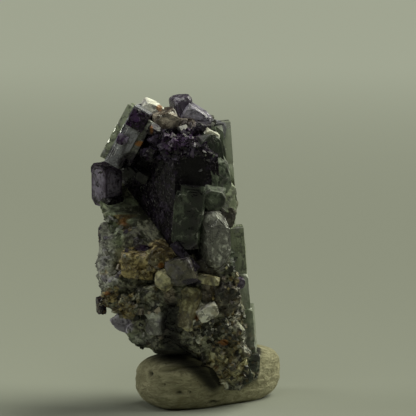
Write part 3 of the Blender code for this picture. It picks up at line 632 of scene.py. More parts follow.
# Crystals of the front: name, finish ("ore" ones are drawn as part of the skin), own colour,
# (across, up, depth), (width, depth, height), (lean left, turn right, tip forwards) in degrees,
# how much of each corner stays, and the number of chips. A row's place gives its random seed
frontCrystals = (
    ("shoulder front", "paleGlass", "frost", (-9.2, 31.2, -3.0), (2.0, 3.2, 7.1), (-29, -8, 3), 1.0, 3),
    ("shoulder back", "paleGlass", "mint", (-10.2, 31.7, -1.9), (1.2, 3.0, 6.8), (-29, -8, 3), 1.0, 1),
    ("shoulder side", "paleGlass", "pale", (-8.0, 30.6, -3.1), (0.9, 2.8, 5.6), (-29, -8, 3), 0.95, 5),
    ("shoulder cap", "purpleOre", "plum", (-8.0, 33.2, -3.45), (2.0, 3.2, 2.2), (-29, -8, 3), 0.95, 3),
    ("shoulder plum", "purpleOre", "plum", (-9.75, 31.0, -3.30), (1.2, 3.2, 1.2), (-20, -8, 3), 0.85, 5),
    ("left cube", "purpleOre", "violet", (-11.8, 25.7, 0.7), (2.4, 2.6, 4.6), (6, 40, 10), 0.86, 7),
    ("left cube foot", "ore", "mint", (-11.3, 23.2, -0.9), (1.7, 1.8, 2.4), (10, 20, 0), 0.9, 3),
    ("teal block", "ore", "", (-10.2, 21.6, -1.8), (2.7, 2.8, 3.4), (14, -22, 10), 0.95, 3),
    ("stained block", "ore", "", (-9.2, 20.9, -2.2), (2.1, 2.2, 2.4), (-34, 10, 12), 0.9, 3),
    ("slope block a", "ore", "", (-7.8, 19.0, -3.3), (2.8, 2.6, 2.6), (-32, -12, 8), 0.9, 3),
    ("slope block b", "ore", "", (-9.7, 18.9, -3.2), (3.2, 3.0, 3.0), (18, -24, 6), 0.88, 3),
    ("left pale a", "ore", "pale", (-11.1, 20.1, 2.4), (2.4, 3.2, 3.0), (8, 20, 0), 0.85, 3),
    ("left pale b", "ore", "pale", (-11.5, 17.4, 1.9), (2.3, 3.2, 3.2), (-6, 10, 6), 0.9, 3),
    ("left pale c", "ore", "pale", (-11.3, 14.2, 1.0), (2.4, 3.0, 3.2), (10, -12, 0), 0.9, 3),
    ("left pale d", "ore", "", (-10.9, 16.2, -2.0), (2.7, 2.8, 3.0), (24, 30, 10), 0.9, 3),
    ("green middle", "darkGlass", "green", (-2.4, 21.8, -5.7), (3.0, 2.8, 6.3), (-6, -14, 5), 0.86, 2),
    ("green facet", "darkGlass", "", (-2.0, 24.0, -6.9), (2.6, 1.0, 3.1), (-4, -12, 3), 1.0, 0),
    ("pale middle", "paleGlass", "pale", (0.4, 19.3, -5.0), (2.9, 3.0, 6.8), (4, 24, 2), 0.66, 9),
    ("blade", "purpleOre", "purple", (-2.9, 17.5, -6.3), (0.9, 1.6, 4.0), (42, 10, 0), 1.0, 1),
    ("purple corner", "paleGlass", "umber", (-3.1, 16.0, -6.2), (3.1, 2.6, 2.9), (13, -16, 4), 0.88, 9),
    ("right slab top", "edgeGlass", "", (1.65, 27.0, 1.6), (2.0, 3.4, 12.0), (4, 3, 0), 1.0, 2),
    ("right slab front", "smoothOre", "green", (0.9, 29.0, -1.4), (1.6, 2.4, 7.0), (7, 6, 4), 0.88, 8),
    ("right green", "paleGlass", "mint", (2.9, 18.1, -0.4), (2.1, 3.4, 5.7), (4, 2, 0), 1.0, 2),
    ("right grey", "clearGreen", "", (3.2, 13.1, -0.6), (2.3, 3.4, 5.4), (5, 5, 3), 0.92, 3),
    ("right foot", "clearGreen", "", (4.0, 8.9, -0.8), (2.3, 3.4, 5.9), (4, -4, 2), 0.95, 3),
    ("foot corner", "darkGlass", "green", (4.4, 5.4, -1.9), (1.9, 2.4, 2.5), (0, 18, 6), 0.9, 2),
    ("foot dark", "ore", "green", (3.9, 4.1, -2.2), (2.3, 2.4, 2.0), (24, -12, 0), 0.85, 3),
    ("foot front", "ore", "", (1.3, 7.6, -3.6), (4.4, 3.0, 5.2), (30, -12, 6), 0.86, 4),
    ("foot left", "ore", "", (-0.9, 8.1, -3.4), (3.0, 3.0, 4.0), (34, -26, 8), 0.9, 4),
    ("foot tip", "ore", "", (2.5, 4.5, -3.0), (2.2, 2.0, 2.6), (38, 10, 4), 0.85, 3),
    ("foot side", "ore", "beige", (0.9, 4.7, -3.6), (1.9, 1.6, 3.0), (36, -8, 0), 0.85, 3),
    ("dark green a", "smoothOre", "green", (-0.2, 29.6, -3.1), (2.5, 3.0, 4.2), (14, 18, 8), 0.8, 7),
    ("dark green b", "smoothOre", "green", (0.6, 26.6, -3.3), (2.4, 3.0, 4.6), (6, 26, 0), 0.75, 8),
    ("speckled block", "smoothOre", "green", (0.2, 24.4, -4.2), (2.5, 2.8, 2.8), (-12, 14, 10), 0.75, 8),
    ("smoky right a", "smoothOre", "", (1.4, 24.2, -2.7), (2.2, 3.0, 3.8), (10, 30, 0), 0.78, 7),
    ("smoky right b", "smoothOre", "umber", (1.6, 22.0, -3.0), (2.0, 2.4, 2.8), (-18, 12, 0), 0.78, 7),
    ("oval grain", "smoothOre", "beige", (-5.3, 14.8, -6.4), (1.8, 1.4, 2.5), (6, -8, 10), 0.6, 6),
    ("ochre block", "ore", "ochre", (-8.1, 16.7, -4.8), (3.5, 2.8, 2.9), (-8, -14, 12), 0.84, 4),
    ("tan block", "ore", "ochre", (-5.9, 17.2, -5.6), (2.9, 2.2, 2.7), (-38, 6, 10), 0.82, 4),
    ("tan sliver", "smoothOre", "beige", (-0.3, 14.9, -6.1), (2.7, 1.2, 1.0), (-12, 0, 0), 0.75, 4),
    ("beige plate", "smoothOre", "beige", (-2.5, 11.6, -5.4), (2.2, 1.5, 5.1), (-11, -28, 2), 0.8, 9),
    ("white chip", "smoothOre", "cream", (-0.3, 11.2, -6.0), (2.4, 1.4, 1.5), (30, 10, 14), 0.8, 9),
    ("pepper block", "ore", "", (-0.9, 9.7, -5.3), (2.2, 1.7, 2.4), (16, -10, 0), 0.85, 4),
    ("hollow right", "ore", "umber", (1.4, 12.8, -4.3), (3.2, 2.4, 3.5), (-22, 24, 0), 0.8, 4),
    ("under pale", "ore", "umber", (-0.7, 16.4, -4.7), (2.6, 2.4, 2.4), (20, 12, 0), 0.9, 3),
    ("purple bead", "purpleOre", "violet", (3.2, 14.5, -3.1), (1.2, 1.2, 1.1), (20, 30, 20), 0.8, 2),
    ("dark block", "ore", "", (-6.9, 12.8, -5.0), (3.0, 2.8, 3.2), (4, 12, 6), 0.9, 3),
    ("blue grey block", "smoothOre", "pale", (-6.1, 10.4, -4.9), (2.0, 2.0, 3.4), (4, -26, 0), 0.88, 6),
    ("left ochre a", "ore", "ochre", (-10.6, 12.6, -3.4), (2.6, 2.4, 2.2), (-24, -18, 10), 0.8, 3),
    ("left ochre b", "ore", "ochre", (-9.2, 11.6, -4.2), (1.9, 1.8, 1.8), (12, 10, 20), 0.8, 3),
    ("left purple bead", "purpleOre", "plum", (-12.45, 11.9, -0.4), (0.9, 1.1, 2.0), (4, 20, 0), 0.85, 3),
    ("lower violet", "ore", "lavender", (-9.7, 10.4, -2.6), (2.2, 2.2, 2.0), (42, -18, 0), 0.88, 3),
    ("lower bulge", "ore", "", (-7.8, 9.3, -3.2), (3.0, 3.4, 2.9), (38, -10, 8), 0.85, 3),
    ("lower grey", "ore", "", (-5.6, 8.1, -2.6), (2.8, 3.4, 2.5), (36, 16, 0), 0.88, 3),
    ("top purple", "paleGlass", "lavender", (-3.3, 34.6, -0.6), (2.2, 2.4, 2.5), (12, 24, 10), 0.78, 6),
    ("top lavender", "paleGlass", "lavender", (-1.7, 33.3, -1.2), (3.2, 2.6, 2.3), (-33, 10, 8), 0.85, 8),
    ("top grey", "paleGlass", "frost", (0.5, 31.9, -0.8), (1.9, 2.0, 2.2), (-6, 30, 8), 0.84, 6),
    ("top pale", "ore", "smoky", (-2.5, 32.7, -2.0), (2.2, 2.2, 2.2), (18, -18, 12), 0.85, 3),
    ("top dark", "ore", "purple", (-0.9, 31.7, -2.7), (2.2, 2.2, 2.4), (-14, 18, 6), 0.88, 3),
    ("top cream", "smoothOre", "cream", (0.2, 31.5, -3.9), (1.7, 1.0, 0.8), (-30, 20, 8), 0.8, 9),
    ("top cream small", "smoothOre", "cream", (-3.1, 32.1, -3.2), (1.0, 0.9, 0.8), (20, 30, 0), 0.8, 7),
    ("top white", "smoothOre", "cream", (-6.9, 34.4, -1.6), (1.9, 2.0, 1.7), (-24, 12, 10), 0.85, 9),
    ("top white side", "smoothOre", "pale", (-7.8, 34.2, -0.8), (1.2, 1.6, 1.6), (14, -10, 0), 0.85, 5),
    ("top orange", "smoothOre", "cream", (-5.6, 34.0, -1.6), (1.6, 1.6, 1.2), (-30, 10, 0), 0.8, 8),
    ("top smoky", "paleGlass", "smoky", (-5.3, 32.9, -2.3), (2.9, 2.8, 2.6), (16, 18, 14), 0.76, 8),
    ("left cube cap", "purpleOre", "plum", (-11.9, 27.4, 0.65), (2.45, 2.75, 1.4), (6, 40, 10), 0.84, 7),
    ("left cube edge", "purpleOre", "purple", (-11.5, 23.9, 0.45), (2.45, 2.75, 1.2), (6, 40, 10), 0.84, 7),
)
frontGrowth = {"cellSize": 0.14, "width": 0.42, "levels": 3, "height": 0.035, "warp": 0.03, "chip": 0.12}
# The strip of clear glass is nearly plain
edgeGrowth = {"cellSize": 0.30, "width": 2.0, "levels": 0, "height": 0.0, "warp": 0.008, "chip": 0.06}

# Crystals round the sides and the back, on a rising spiral, sunk by a share of their size. They
# leave out a sector of the front, in degrees to its left and right, and some numbers; above
# taperFrom they get smaller
sides = {
    "count": 64, "seed": 21, "firstSeed": 100, "low": 8.0, "high": 31.6, "goldenAngle": 137.508,
    "sizes": (2.3, 4.4), "sunk": 0.30, "tilt": 24, "chips": 3, "cornersKept": (1.0, 0.94, 0.88, 0.8, 0.7),
    "taperFrom": 26, "taperOver": 8, "taperBy": 0.35, "frontLeft": 104, "frontRight": 112,
    "skipped": (37, 45, 50, 53), "cellSize": 0.26,
    "growth": {"width": 0.5, "levels": 3, "height": 0.06, "warp": 0.04, "chip": 0.15},
    "looks": (("ore", ""), ("paleGlass", "lavender"), ("purpleOre", "purple"), ("ore", "green"),
              ("darkGlass", "green"), ("ore", ""), ("ore", "pale"), ("clearGreen", ""), ("ore", "ochre"),
              ("paleGlass", "pale"), ("purpleOre", "lavender"), ("ore", ""))}

# Small cubes in five patches: count, middle, reach, sizes, seed, finish, colour
smallPatches = (
    (20, (-5.4, 30.6, -4.6), (2.0, 1.4, 0.8), (0.7, 1.3), 3, "purpleOre", "purple"),
    (9, (-8.6, 27.9, -1.8), (1.2, 1.2, 0.7), (0.8, 1.5), 13, "purpleOre", "dark"),
    (16, (1.2, 7.0, -4.7), (2.2, 2.4, 0.4), (0.8, 1.4), 5, "ore", ""),
    (10, (-9.6, 14.6, -4.5), (1.8, 2.4, 0.5), (1.0, 1.6), 7, "ore", ""),
    (8, (1.0, 16.4, -5.0), (2.0, 1.2, 0.5), (0.8, 1.3), 9, "ore", ""),
)
smallShape = {"kept": 0.92, "chips": 1, "cellSize": 0.25,
              "growth": {"width": 0.3, "levels": 1, "height": 0.03, "warp": 0.02, "chip": 0}}

# Loose-looking grains set into the front: finish, how many, the middle and reach of the patch
# as seen from the viewpoint, sizes, colours
grainPatches = (
    ("ore", 60, (1.6, 6.4), (4.4, 4.2), (0.25, 0.60), ("umber", "smoky", "", "", "dark", "umber")),
    ("smoothOre", 36, (-0.7, 9.4), (1.6, 1.8), (0.25, 0.50), ("dark", "cream", "", "dark", "pale")),
    ("ore", 30, (-10.3, 12.4), (2.4, 1.8), (0.25, 0.55), ("ochre", "dark", "umber", "ochre", "")),
    ("smoothOre", 20, (-8.4, 16.6), (2.6, 2.0), (0.25, 0.50), ("ochre", "beige", "smoky", "ochre")),
    ("smoothOre", 24, (-11.2, 18.6), (1.8, 4.0), (0.30, 0.60), ("pale", "", "lavender")),
    ("smoothOre", 36, (-6.6, 9.6), (3.4, 2.6), (0.30, 0.70), ("", "smoky", "pale", "dark")),
    ("smoothOre", 20, (0.6, 28.8), (1.8, 4.2), (0.25, 0.50), ("green", "pale", "dark")),
    ("smoothOre", 30, (1.6, 14.0), (1.8, 2.6), (0.25, 0.60), ("smoky", "beige", "ochre", "dark")),
    ("purpleOre", 150, (-4.9, 30.2), (3.0, 1.9), (0.30, 0.95), ("violet", "plum", "purple", "lavender")),
    ("purpleOre", 40, (-2.2, 30.4), (2.0, 1.6), (0.25, 0.70), ("purple", "plum", "violet", "purple")),
)
# The front is measured in squares, and no grain grows on what lies deeper than deepest
grainShape = {"jitter": 0.3, "sunk": 0.16, "seed": 60, "square": 0.3, "deepest": 0.5}

# The large octahedron in the front: its size, the middle of its near edge, how it is turned,
# how much of its points stays, and a point and direction of each plane where growth ends it
octahedron = {
    "edge": 13.6, "edgeMiddle": (-4.0, 24.6, -6.0), "angles": (-2.0, -18.7, 8.0), "pointsKept": 0.96,
    "ends": (((1.2, 0, 24), (1, 0, 0.07)), ((-10.3, 3.9, 0), (0.36, 0.93, 0)),
             ((-3, 0, 32.6), (-0.2, -0.3, 1))),
    "cells": 80, "growth": {"width": 0.9, "levels": 5, "height": 0.03, "warp": 0.05, "chip": 0.15},
    "seed": 77, "rimWidth": 0.5, "tint": 0.2}

# The lump of massive fluorite, level by level: height, left, right, front, back
lump = {
    "levels": (
        (1.9, 1.8, 3.2, -3.6, -2.2), (3.4, 0.8, 4.3, -4.3, -0.4), (5.4, -1.0, 4.5, -4.8, 1.8),
        (6.9, -4.0, 4.5, -5.0, 3.2), (8.6, -7.2, 4.3, -5.3, 4.2), (10.6, -10.0, 3.9, -5.5, 4.8),
        (13.0, -11.2, 3.6, -5.7, 5.2), (16.0, -11.4, 3.3, -5.2, 5.6), (19.0, -11.4, 2.9, -3.2, 5.6),
        (22.0, -11.2, 2.5, -1.8, 5.6), (25.0, -11.0, 2.0, -0.9, 5.5), (28.0, -10.4, 1.4, -0.6, 5.0),
        (31.0, -8.8, 1.0, -1.4, 4.4), (33.0, -6.2, 0.2, -1.6, 3.0)),
    "squareness": 2.8}


def lumpSides(height):
    # Left, right, front and back at a height, between the levels
    levels = np.array(lump["levels"])
    return [np.interp(height, levels[:, 0], levels[:, column]) for column in range(1, 5)]


def lumpPoint(height, angle):
    # A rounded rectangle between the left, right, front and back of that height
    left, right, front, back = lumpSides(height)
    over = signedPower(np.cos(angle), 2 / lump["squareness"])
    behind = signedPower(np.sin(angle), 2 / lump["squareness"])
    x = (left + right) / 2 + (right - left) / 2 * over
    y = (front + back) / 2 + (back - front) / 2 * behind
    return np.stack(np.broadcast_arrays(x, y, height), axis=-1)


def sideBlocks():
    # Along a spiral of golden-angle turns, faces turned outwards
    rng = random.Random(sides["seed"])
    for i in range(sides["count"]):
        height = sides["low"] + (sides["high"] - sides["low"]) * (i + 0.5) / sides["count"]
        angle = i * math.radians(sides["goldenAngle"]) + math.radians(90)
        size = np.array([rng.uniform(*sides["sizes"]) for axis in range(3)])
        size *= 1.0 - sides["taperBy"] * max(0.0, (height - sides["taperFrom"]) / sides["taperOver"])
        angles = [rng.uniform(-sides["tilt"], sides["tilt"]) for axis in range(3)]
        kept = rng.choice(sides["cornersKept"])
        fromFront = (math.degrees(angle) + 90) % 360
        inFront = fromFront < sides["frontRight"] or 360 - fromFront < sides["frontLeft"]
        if inFront or i in sides["skipped"]:
            continue
        outward = np.array([math.cos(angle), math.sin(angle), 0])
        finishName, kind = sides["looks"][i % len(sides["looks"])]
        yield {"finish": finishName, "kind": kind, "size": size, "kept": kept, "chips": sides["chips"],
               "seed": sides["firstSeed"] + i,
               "place": lumpPoint(height, angle) - outward * size.max() * sides["sunk"],
               "angles": (angles[0], math.degrees(angle) + 90 + angles[1], angles[2]),
               "cellSize": sides["cellSize"], "growth": sides["growth"]}


def smallBlocks():
    # Cubes at random places and turns inside each patch
    for count, middle, reach, sizes, seed, finishName, kind in smallPatches:
        rng = random.Random(seed)
        for i in range(count):
            seen = [m + r * rng.uniform(-1, 1) for m, r in zip(middle, reach)]
            size = [rng.uniform(*sizes) for axis in range(3)]
            angles = [rng.uniform(-45, 45) for axis in range(3)]
            yield {"finish": finishName, "kind": kind, "size": size, "angles": angles,
                   "seed": seed * 100 + i, "place": fromView(*seen), **smallShape}


def frontBlocks():
    # The rows of the front, each put at its place in the view
    for number, (name, finishName, kind, seen, size, angles, kept, chips) in enumerate(frontCrystals):
        growth = edgeGrowth if finishName == "edgeGlass" else frontGrowth
        yield {"finish": finishName, "kind": kind, "size": size, "kept": kept, "chips": chips,
               "seed": number + 1, "place": fromView(*seen), "angles": angles,
               "cellSize": growth["cellSize"], "growth": growth}


allBlocks = [*frontBlocks(), *sideBlocks(), *smallBlocks()]


# The skin: one closed surface over the lump and every crystal that is grown into it

# frontShare crowds the rays towards the front. Facets and dents are size or wave length, depth and
# seed. The skin stops behind the octahedron's faces that look towards the eye by more than facing
skin = {"around": 304, "rings": 322, "frontShare": 0.45, "soften": 2, "tint": 0.5,
        "facets": ((1.5, 0.50, 51), (0.55, 0.22, 52)), "dents": ((3.0, 0.12, 53), (0.9, 0.05, 54)),
        "behind": 0.12, "facing": 0.5, "narrowest": 0.3, "ends": 0.05}


def outermost(origins, directions, normals, reaches, turning, centre):
    # How far along each ray it leaves a solid bounded by planes, or minus infinity if it misses,
    # and the number of the plane through which it leaves
    start = (origins - centre) @ turning
    heading = directions @ turning
    speed = heading @ normals.T
    slack = reaches - start @ normals.T
    when = slack / np.where(np.abs(speed) < 1e-9, 1e-9, speed)
    out = np.where(speed > 0, when, np.inf)
    leaves = np.min(out, axis=1)
    enters = np.max(np.where(speed <= 0, when, -np.inf), axis=1)
    return np.where((leaves > enters) & (leaves > 0), leaves, -np.inf), np.argmin(out, axis=1)


def makeSkin():
    # Rays run outwards from the lump's middle line at every height and angle. Each goes out to
    # the lump or to the farthest crystal on its way. Where a ray leaves through one of the
    # octahedron's front faces it stops just under that face
    low, high = lump["levels"][0][0], lump["levels"][-1][0]
    height = np.linspace(low, high, skin["rings"] + 2)[1:-1]
    turn = np.linspace(-math.pi, math.pi, skin["around"], endpoint=False)
    angle = -math.pi / 2 + turn - skin["frontShare"] * np.sin(turn)
    heights, angles = [grid.ravel() for grid in np.meshgrid(height, angle, indexing="ij")]
    left, right, front, back = lumpSides(heights)
    middle = np.stack([(left + right) / 2, (front + back) / 2, heights], axis=1)
    outer = lumpPoint(heights, angles)
    reach = np.linalg.norm(outer - middle, axis=1)
    outward = (outer - middle) / reach[:, None]
    tint = np.full(len(reach), skin["tint"])
    own = np.full(len(reach), -1)
    for block in allBlocks:
        if block["finish"] != "ore":
            continue
        rows = np.nonzero(np.abs(heights - block["place"][2]) < np.linalg.norm(block["size"]) / 2)[0]
        normals, reaches = blockPlanes(block["size"], block["kept"], block["chips"], block["seed"])
        leaves, plane = outermost(middle[rows], outward[rows], normals, reaches, turned(*block["angles"]),
                                  block["place"])
        wins = leaves > reach[rows]
        reach[rows[wins]] = leaves[wins]
        tint[rows[wins]] = blockTint(block)
        own[rows[wins]] = zoneIndex(block["kind"])
    field = reach.reshape(skin["rings"], skin["around"])
    for softening in range(skin["soften"]):
        field = (np.roll(field, 1, axis=1) + 2 * field + np.roll(field, -1, axis=1)) / 4
        padded = np.pad(field, ((1, 1), (0, 0)), mode="edge")
        field = (padded[:-2] + 2 * padded[1:-1] + padded[2:]) / 4
    points = middle + outward * field.reshape(-1, 1)
    rise = sum(depth * wavy(points, waveLength, seed) for waveLength, depth, seed in skin["dents"])
    rise += sum(depth * brokenFacets(points, size, seed) for size, depth, seed in skin["facets"])
    away = field.ravel() + rise
    normals, reaches, turning, centre = octahedronPlanes()
    inside, plane = outermost(middle, outward, normals, reaches, turning, centre)
    facesFront = (normals @ turning.T)[plane] @ pictureAxes()[3] > skin["facing"]
    stops = (inside > 0) & facesFront & (plane < 8)  # its eight faces come first
    away = np.where(stops, np.minimum(away, inside - skin["behind"]), away)
    points = middle + outward * np.maximum(away, skin["narrowest"])[:, None]
    ends = np.stack([middle[0] - [0, 0, skin["ends"]], middle[-1] + [0, 0, skin["ends"]]])
    points = np.concatenate([ends[:1], points, ends[1:]])
    quads, triangles = ringFaces(skin["rings"], skin["around"])
    tint = np.concatenate([[skin["tint"]], tint, [skin["tint"]]])
    values = {"rim": np.zeros(len(points)), "tint": tint}
    values.update(zoneValues(points, np.concatenate([[-1], own, [-1]])))
    return makePiece("skin", points, quads, triangles, values, finishes["ore"]), points


skinPiece, skinPoints = makeSkin()
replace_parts(skinPiece, "fluorite_cluster")


def makeOctahedron():
    # The planes of octahedronPlanes, with growth steps over them. The points are kept for the grains
    normals, reaches, turning, centre = octahedronPlanes()
    size = (octahedron["edge"] * math.sqrt(2),) * 3
    points, quads, edge = crystalSurface(normals, reaches, size, octahedron["cells"],
                                         octahedron["growth"], octahedron["seed"])
    points = points @ turning.T + centre
    rim = np.exp(-edge / octahedron["rimWidth"])
    values = {"rim": rim, "tint": np.full(len(points), octahedron["tint"])}
    values.update(zoneValues(points, np.full(len(points), zoneIndex("purple"))))
    makePiece("octahedron", points, quads, noTriangles, values, finishes["darkFace"])
    return points


octahedronPoints = makeOctahedron()


def growCrystals():
    # Every crystal is worked out by itself, then those of one finish become one piece
    groups = {}
    for block in allBlocks:
        if block["finish"] != "ore":
            groups.setdefault(block["finish"], []).append(makeBlock(block))
    for finishName, blocks in groups.items():
        points, quads, values = joined(blocks)
        makePiece(finishName + "Crystals", points, quads, noTriangles, values, finishes[finishName])


growCrystals()


def frontDepths(points):
    # The depth of the point nearest the eye in each small square of the picture's plane: the
    # points are read from the back to the front, and the last one in a square stays
    across, up = toView(points)
    column = np.floor(across / grainShape["square"]).astype(int)
    row = np.floor(up / grainShape["square"]).astype(int)
    order = np.argsort(-points[:, 1])
    return dict(zip(zip(column[order], row[order]), points[order, 1]))


def growGrains(surfacePoints):
    # Small broken crystals, each a cube's eight corners moved about at random, a little sunk into
    # the front of the surface
    nearest, square = frontDepths(surfacePoints), grainShape["square"]
    rng = np.random.default_rng(grainShape["seed"])
    grains = {}
    for finishName, count, middle, reach, sizeRange, kinds in grainPatches:
        for i in range(count):
            turn = rng.uniform(0, 2 * math.pi)
            far = math.sqrt(rng.uniform(0, 1))
            across = middle[0] + reach[0] * far * math.cos(turn)
            up = middle[1] + reach[1] * far * math.sin(turn)
            size = rng.uniform(*sizeRange)
            kind = kinds[int(rng.integers(len(kinds)))]
            depth = nearest.get((math.floor(across / square), math.floor(up / square)), math.inf)
            if depth < grainShape["deepest"]:
                place = fromView(across, up, depth + grainShape["sunk"])
                grains.setdefault(finishName, []).append((place, size, zoneIndex(kind)))
    cube, cubeQuads = boxGrid(1)
    for finishName, rows in grains.items():
        count = len(rows)
        places, sizes, owns = [np.array(column) for column in zip(*rows)]
        spins = np.linalg.qr(rng.normal(size=(count, 3, 3)))[0]
        spins *= np.sign(np.linalg.det(spins))[:, None, None]
        stretch = rng.uniform(0.6, 1.2, size=(count, 1, 3)) * sizes[:, None, None] / 2
        corners = (cube + rng.uniform(-1, 1, size=(count, 8, 3)) * grainShape["jitter"]) * stretch
        points = (np.einsum("nij,nkj->nki", spins, corners) + places[:, None, :]).reshape(-1, 3)
        quads = (cubeQuads[None] + 8 * np.arange(count)[:, None, None]).reshape(-1, 4)
        values = {"rim": np.zeros(len(points)), "tint": np.repeat(rng.uniform(0, 1, size=count), 8)}
        values.update(zoneValues(points, np.repeat(owns, 8)))
        makePiece(finishName + "Grains", points, quads, noTriangles, values, finishes[finishName])


growGrains(np.concatenate([skinPoints, octahedronPoints]))


# The pad: a roll of putty from the front left to the back right. Pits are across, up, reach across,
# reach up and depth in the view; shadeLine is where the cluster's shade lies on it, in the view;
# dents are depth, wave length and seed
pad = {
    "length": 18.0, "right": 0.35, "halfWidthFront": 3.7, "halfWidthBack": 5.0, "height": 6.7,
    "cutOffBelow": 0.6, "turn": math.radians(34), "bend": 0.6, "lift": 0.35, "roundness": 0.62,
    "around": 280, "rings": 260, "lip": 0.35, "lipWidth": 0.6, "lipAbove": 0.8, "footBelow": 9.6,
    "dents": (0.10, 4.0, 3), "creases": (0.05, 1.3, 8), "shrunk": 0.10, "frontTo": 1.5, "darkNear": 0.30,
    "fold": {"at": 0.70, "width": 0.05, "depth": 0.30, "from": -0.93, "to": 0.35},
    "pits": ((-6.75, 4.1, 0.20, 0.30, 0.3), (-3.6, 1.95, 0.38, 0.20, 0.3), (-2.3, 2.0, 0.12, 0.12, 0.2),
             (-5.2, 2.9, 0.10, 0.10, 0.15), (0.4, 0.9, 0.5, 0.15, 0.2)),
    "shadeLine": ((-6.9, 6.7), (-5.1, 6.2), (-3.4, 5.7), (-1.8, 4.9), (-0.5, 3.9), (0.3, 2.9)),
    "shadeReach": 1.0}
# crease is the colour of the painted shade in the creases, shade that of the pad's other painted shade
puttyLook = {
    "darker": (0.36, 0.335, 0.21), "lighter": (0.52, 0.485, 0.325), "crease": (0.19, 0.17, 0.095),
    "speck": (0.045, 0.035, 0.022), "shade": (0.010, 0.009, 0.005), "rough": 0.62, "shine": 0.35}


def puttyFinish(name):
    # Beige-grey mineral tack: dusty mottling, drawn-out creases along the roll with painted shade in
    # them, dark specks, and painted shade in the pits, the groove and round the cluster's foot
    finish = Finish(name)
    turnedPlace = finish.add("ShaderNodeMapping", {}, {
        "Vector": finish.place, "Rotation": (0, 0, -pad["turn"]), "Scale": (0.35, 1.0, 1.3)})
    crease = finish.add("ShaderNodeTexNoise", {}, {"Vector": turnedPlace, "Scale": 1.6, "Detail": 5.0,
                                                   "Roughness": 0.65, "Distortion": 1.2})
    dust = finish.noise(0.5, 4.0, 0.6)
    colour = finish.blend(dust.between(0.35, 0.65), puttyLook["darker"], puttyLook["lighter"])
    # The low parts of the crease pattern are darkened: painted shade in the creases
    colour = finish.blend((1 - crease.between(0.38, 0.58)) * 0.6, colour, puttyLook["crease"])
    specks = finish.cells(1.9)
    speck = (1 - specks.between(0.06, 0.13)) * finish.noise(0.9, 1.0).between(0.48, 0.56)
    colour = finish.blend(speck * 0.85, colour, puttyLook["speck"])
    # Painted shade: the pad's shade value darkens the putty towards the shade colour
    colour = finish.blend(finish.value("paintedShade") * 0.97, colour, puttyLook["shade"])
    bumps = finish.bump(crease, 0.9, 0.5)
    bumps = finish.bump(finish.noise(4.5, 3.0, 0.6), 0.4, 0.06, bumps)
    return finish.surface({"Base Color": colour, "Roughness": puttyLook["rough"] + 0.22 * dust,
                           "Normal": bumps, "Specular IOR Level": puttyLook["shine"]})


def boxDistance(points, place, size, angles):
    # Distance from each point to a turned box, below zero inside it
    local = (points - place) @ turned(*angles)
    outside = np.abs(local) - np.array(size) / 2
    return np.linalg.norm(np.maximum(outside, 0), axis=1) + np.minimum(outside.max(axis=1), 0)


def lineDistance(points, corners):
    # Distance in the picture's plane from each point to a line drawn through the corners
    nearest = np.full(len(points), np.inf)
    for start, end in zip(corners[:-1], corners[1:]):
        along = end - start
        share = np.clip((points - start) @ along / (along @ along), 0, 1)
        nearest = np.minimum(nearest, np.linalg.norm(points - start - share[:, None] * along, axis=1))
    return nearest


